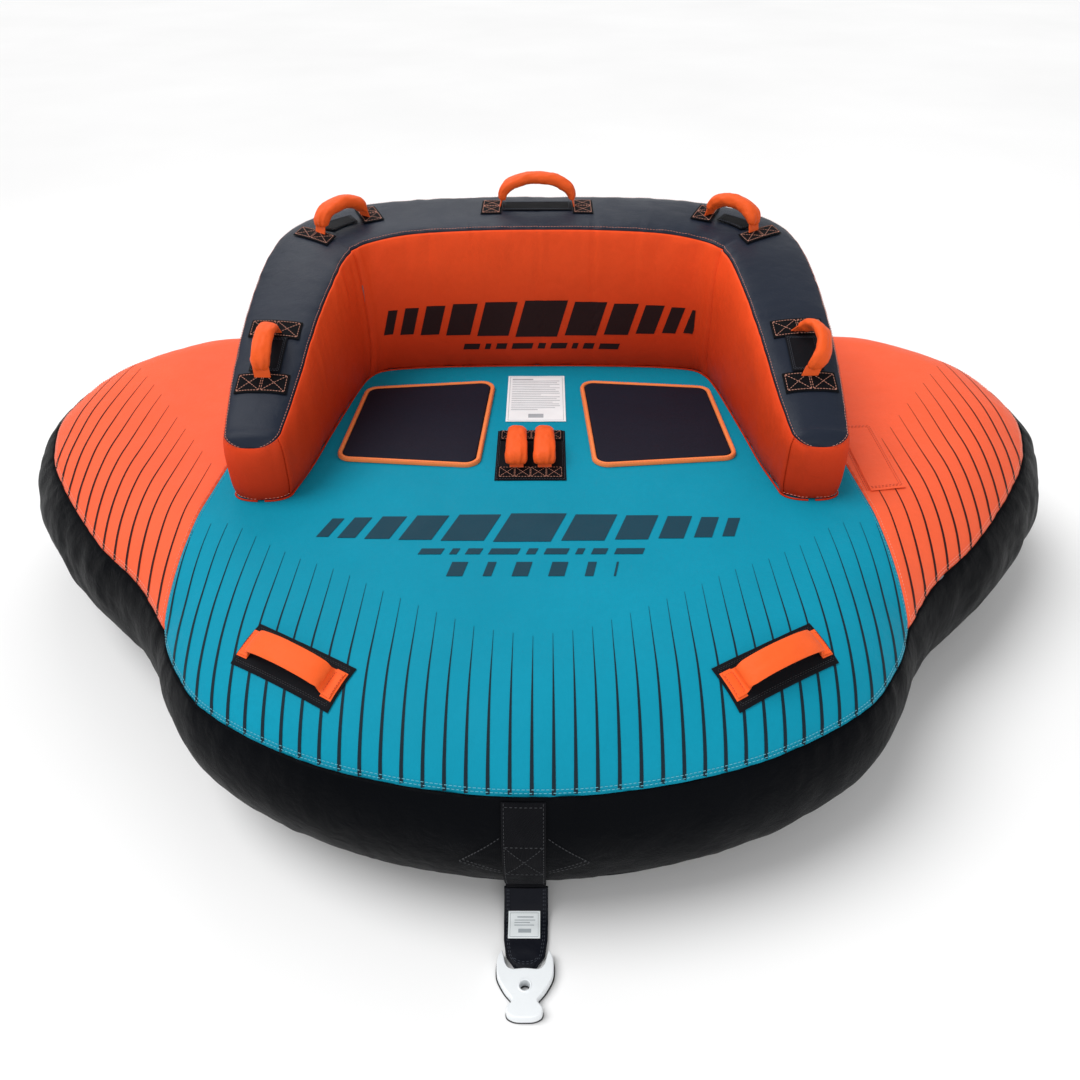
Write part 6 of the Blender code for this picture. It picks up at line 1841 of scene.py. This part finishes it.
conn = ring_loft("tow_connector_body", plate_rings([(0.0037, 0.0010), (0.0043, 0.0003), (0.0056, 0.0), (0.0180, 0.0), (0.0197, 0.0003), (0.0208, 0.0008), (0.0214, 0.0015), (0.0216, 0.0022)]),
                 M_CONN, "connector_body", replaces=("tow_connector",), slot="white_plastic", smooth=50)
bore(conn, Vector((TOW_X, CY - 0.019, 0.012)), Matrix.Identity(4), 0.0086)
conn.data.shade_smooth()
conn.data.set_sharp_from_angle(angle=math.radians(50))
back = ring_loft("connector_back_plate_body", plate_rings([(0.0002, 0.0005), (0.0008, 0.0), (0.0026, 0.0), (0.0032, 0.0005)], 1.04),
                 M_BLACKP, "connector_body", replaces=("connector_back_plate",), slot="valve_plastic", smooth=50)
bore(back, Vector((TOW_X, CY - 0.019, 0.012)), Matrix.Identity(4), 0.0075)
back.data.shade_smooth()
back.data.set_sharp_from_angle(angle=math.radians(50))
for obj in (conn, back):
    for poly in obj.data.polygons:
        if abs(poly.normal.z) > 0.995:
            poly.use_smooth = False
ring_rows = []
for c in np.linspace(0, 2 * math.pi, 12, endpoint=False):
    r, z = 0.0102 + 0.0014 * math.cos(c), 0.0214 + 0.0012 * math.sin(c)
    a = np.linspace(0, 2 * math.pi, 48, endpoint=False)
    ring_rows.append(np.column_stack([TOW_X + r * np.cos(a), CY - 0.019 + r * np.sin(a), np.full(48, z)]))
verts = np.vstack(ring_rows)
faces = [(r * 48 + k, r * 48 + (k + 1) % 48, ((r + 1) % 12) * 48 + (k + 1) % 48, ((r + 1) % 12) * 48 + k) for r in range(12) for k in range(48)]
tidy(make("connector_hole_lip", verts, faces, M_CONN, "connector_body", slot="white_plastic", smooth=80))


# ------------------------------------------------------------------ valves and flap
def turned(name, profile, place, mat, body, replaces=(), slot=None, steps=72, ridges=0, ridge=0.0, ridge_rows=()):
    rings, n = [], steps
    a = np.linspace(0, 2 * math.pi, n, endpoint=False)
    for i, (r, z) in enumerate(profile):
        rr = np.full(n, max(r, 0.00025))
        if ridges and i in ridge_rows:
            rr = rr - ridge * (0.5 + 0.5 * np.cos(a * ridges)) ** 2
        q = np.column_stack([rr * np.cos(a), rr * np.sin(a), np.full(n, z)])
        rings.append(np.array([tuple(place @ Vector(p)) for p in q]))
    return ring_loft(name, rings, mat, body, replaces=replaces, slot=slot, smooth=40)


def valve(name, place, body_cap, floor=-0.022):
    turned(name + "_body_turned", [(0.0, floor + 0.0005), (0.0255, floor + 0.0005), (0.0260, floor + 0.0010), (0.0260, floor + 0.0024), (0.0250, floor + 0.0030), (0.0190, floor + 0.0033),
                                   (0.0185, floor + 0.0038), (0.0185, floor + 0.0104), (0.0180, floor + 0.0110), (0.0130, floor + 0.0110), (0.0125, floor + 0.0104), (0.0125, floor + 0.0044), (0.0, floor + 0.0040)],
           place, M_BLACKP, "tube", replaces=(name + "_body",), slot="bladder_pvc")
    turned(name + "_cap_turned", [(0.0, floor + 0.0060), (0.0108, floor + 0.0060), (0.0112, floor + 0.0064), (0.0112, floor + 0.0114), (0.0200, floor + 0.0114), (0.0205, floor + 0.0119),
                                  (0.0205, floor + 0.0150), (0.0198, floor + 0.0166), (0.0185, floor + 0.0174), (0.0150, floor + 0.0175), (0.0142, floor + 0.0166), (0.0, floor + 0.0165)],
           place, M_BLACKP, body_cap, replaces=(name + "_cap",), slot="valve_plastic", steps=144, ridges=24, ridge=0.0012, ridge_rows=(5, 6, 7))
    grip_rows = []
    for z, w, l in ((floor + 0.0165, 0.0020, 0.0125), (floor + 0.0176, 0.0020, 0.0125), (floor + 0.0182, 0.0013, 0.0118)):
        a = np.linspace(0, 2 * math.pi, 32, endpoint=False)
        q = np.column_stack([l * np.sign(np.cos(a)) * np.abs(np.cos(a)) ** 0.3, w * np.sign(np.sin(a)) * np.abs(np.sin(a)) ** 0.8, np.full(32, z)])
        grip_rows.append(np.array([tuple(place @ Vector(p)) for p in q]))
    ring_loft(name + "_cap_grip", grip_rows, M_BLACKP, body_cap, slot="valve_plastic", smooth=40)


hull_place = Matrix.Translation((0.738, 0.030, DECK))
valve("hull_valve", hull_place, "hull_valve_cap_body")
wall_y = REST[-2][3] + 0.007
rest_place = Matrix.Translation((-0.300, wall_y - 0.004, 0.610)) @ Matrix.Rotation(math.radians(-90), 4, "X")
valve("backrest_valve", rest_place, "backrest_valve_cap_body")
for name, centre, turn in (("wing_cover_left_cloth", Vector((0.738, 0.030, 0.42)), Matrix.Identity(4)),
                           ("backrest_outer_cloth", Vector((-0.300, wall_y + 0.01, 0.610)), Matrix.Rotation(math.radians(90), 4, "X"))):
    obj = bpy.data.objects[name]
    apply_all(obj)
    bore(obj, centre, turn, 0.0315, 0.06)
    obj.data.shade_smooth()
hem = Stitches()
for place, r, z, n_axis in ((hull_place, 0.0345, 0.0006, 0), (rest_place, 0.0345, 0.0048, 1)):
    a = np.linspace(0, 2 * math.pi, 60)
    pts = [tuple(place @ Vector((r * math.cos(t), r * math.sin(t), z))) for t in a]
    nrm = [tuple(place.to_3x3() @ Vector((0, 0, 1)))] * 60
    hem.line(pts, nrm, width=0.0010)
hem.build("valve_opening_stitches", T_PINK)


def flap_at(a, b):
    # a from 0 at the hinge line to 1 at the free edge, b from 0 at the front to 1 at the back
    y0, y1 = -0.100 + 0.012 * a, 0.172
    x = 0.700 + 0.076 * a
    z = DECK + 0.0010 + 0.0009 * a + 0.0006 * float(noise(np.array([[a * 3, b * 5, 1.0]]), 77)[0])
    return np.array((x, y0 + (y1 - y0) * b, z)), np.array((0.0, 0.0, 1.0))


plate("hull_valve_flap_cloth", flap_at, 0, 1, 0, 1, 0.0, 0.0022, M_WING, "valve_flap_body", 19, 51, 0.0010, replaces=("hull_valve_flap",), slot="wing_orange_fabric", smooth=60)
flap_bag = Stitches()
for da, db in ((0.09, 0.026), (0.15, 0.044)):
    cs = [(0.02, db), (1 - da, db), (1 - da, 1 - db), (0.02, 1 - db)]
    for k in range(3):
        (xa, ya), (xb, yb) = cs[k], cs[(k + 1) % 4]
        q = [flap_at(xa + (xb - xa) * t, ya + (yb - ya) * t) for t in np.linspace(0, 1, 24)]
        flap_bag.line([p + n * 0.0025 for p, n in q], [n for _, n in q], width=0.0009)
flap_bag.build("valve_flap_stitches", thread_mat("flap_thread", (0.42, 0.030, 0.012)), "valve_flap_body")
hinge_bag = Stitches()
for off in (0.0035, 0.0075):
    ys = np.linspace(-0.098, 0.170, 40)
    p, n = on_top(np.full(40, 0.700 - off + 0.0005), ys, 0.0007)
    hinge_bag.line(p, n, width=0.0009)
hinge_bag.build("valve_flap_hinge_stitches", thread_mat("hinge_thread", (0.42, 0.030, 0.012)))

# the frame's own nodes that stay in view get their materials
for node, mat in (("hull_bladder", M_PVC), ("backrest_bladder", M_PVC)):
    NODES[node].data.materials.clear()
    NODES[node].data.materials.append(mat)


# --------------------------------------------------------------- floor, light and camera
def finish_scene():
    floor_mesh = bpy.data.meshes.new("floor")
    size = 30.0
    floor_mesh.from_pydata([(-size, -size, 0), (size, -size, 0), (size, size, 0), (-size, size, 0)], [], [(0, 1, 2, 3)])
    floor = bpy.data.objects.new("floor", floor_mesh)
    bpy.context.scene.collection.objects.link(floor)
    floor.location.z = -0.0005
    m = Nodes("floor_pale")
    m.link(m.mix(m.ramp(m.noise(0.6, 3), 0.3, 0.7), (0.86, 0.86, 0.86), (0.90, 0.90, 0.90)), m.shader.inputs["Base Color"])
    m.shader.inputs["Roughness"].default_value = 0.9
    m.shader.inputs["Specular IOR Level"].default_value = 0.1
    floor_mesh.materials.append(m.mat)

    world = bpy.context.scene.world or bpy.data.worlds.new("World")
    bpy.context.scene.world = world
    world.use_nodes = True
    back = world.node_tree.nodes["Background"]
    back.inputs[0].default_value = (1, 1, 1, 1)
    back.inputs[1].default_value = 0.56

    def area(name, place, aim, size_x, size_y, power, color=(1, 1, 1)):
        light = bpy.data.lights.new(name, "AREA")
        light.shape = "RECTANGLE"
        light.size, light.size_y = size_x, size_y
        light.energy = power
        light.color = color
        o = bpy.data.objects.new(name, light)
        bpy.context.scene.collection.objects.link(o)
        o.location = place
        o.rotation_euler = (Vector(aim) - Vector(place)).to_track_quat("-Z", "Y").to_euler()
        return o

    sun = bpy.data.lights.new("key", "SUN")
    sun.energy = 1.95
    sun.angle = math.radians(38)
    o = bpy.data.objects.new("key", sun)
    bpy.context.scene.collection.objects.link(o)
    o.rotation_euler = Vector((0.52, 0.02, -1.0)).to_track_quat("-Z", "Y").to_euler()
    area("fill", (0.3, -3.4, 1.7), (0, 0, 0.45), 2.6, 1.6, 26)
    area("top", (-0.8, 2.4, 2.6), (0, 0.2, 0.5), 2.2, 1.2, 22)

    pitch, yaw, roll = math.radians(37), math.radians(0.46948), math.radians(-0.37)
    turn = Matrix.Rotation(yaw, 3, "Z")
    ahead = turn @ Vector((0, math.cos(pitch), -math.sin(pitch)))
    right = turn @ Vector((1, 0, 0))
    up = turn @ Vector((0, math.sin(pitch), math.cos(pitch)))
    c, r = math.cos(roll), math.sin(roll)
    right, up = c * right + r * up, -r * right + c * up
    data = bpy.data.cameras.new("camera")
    data.sensor_width = 36
    data.lens = 36 * 920 / 1080
    data.clip_start = 0.05
    camera = bpy.data.objects.new("camera", data)
    place = Matrix((right, up, -ahead)).transposed().to_4x4()
    place.translation = Vector((0.0206869, -1.70, 1.5))
    camera.matrix_world = place
    bpy.context.scene.collection.objects.link(camera)
    bpy.context.scene.camera = camera
    bpy.context.scene.view_settings.view_transform = "Standard"


finish_scene()
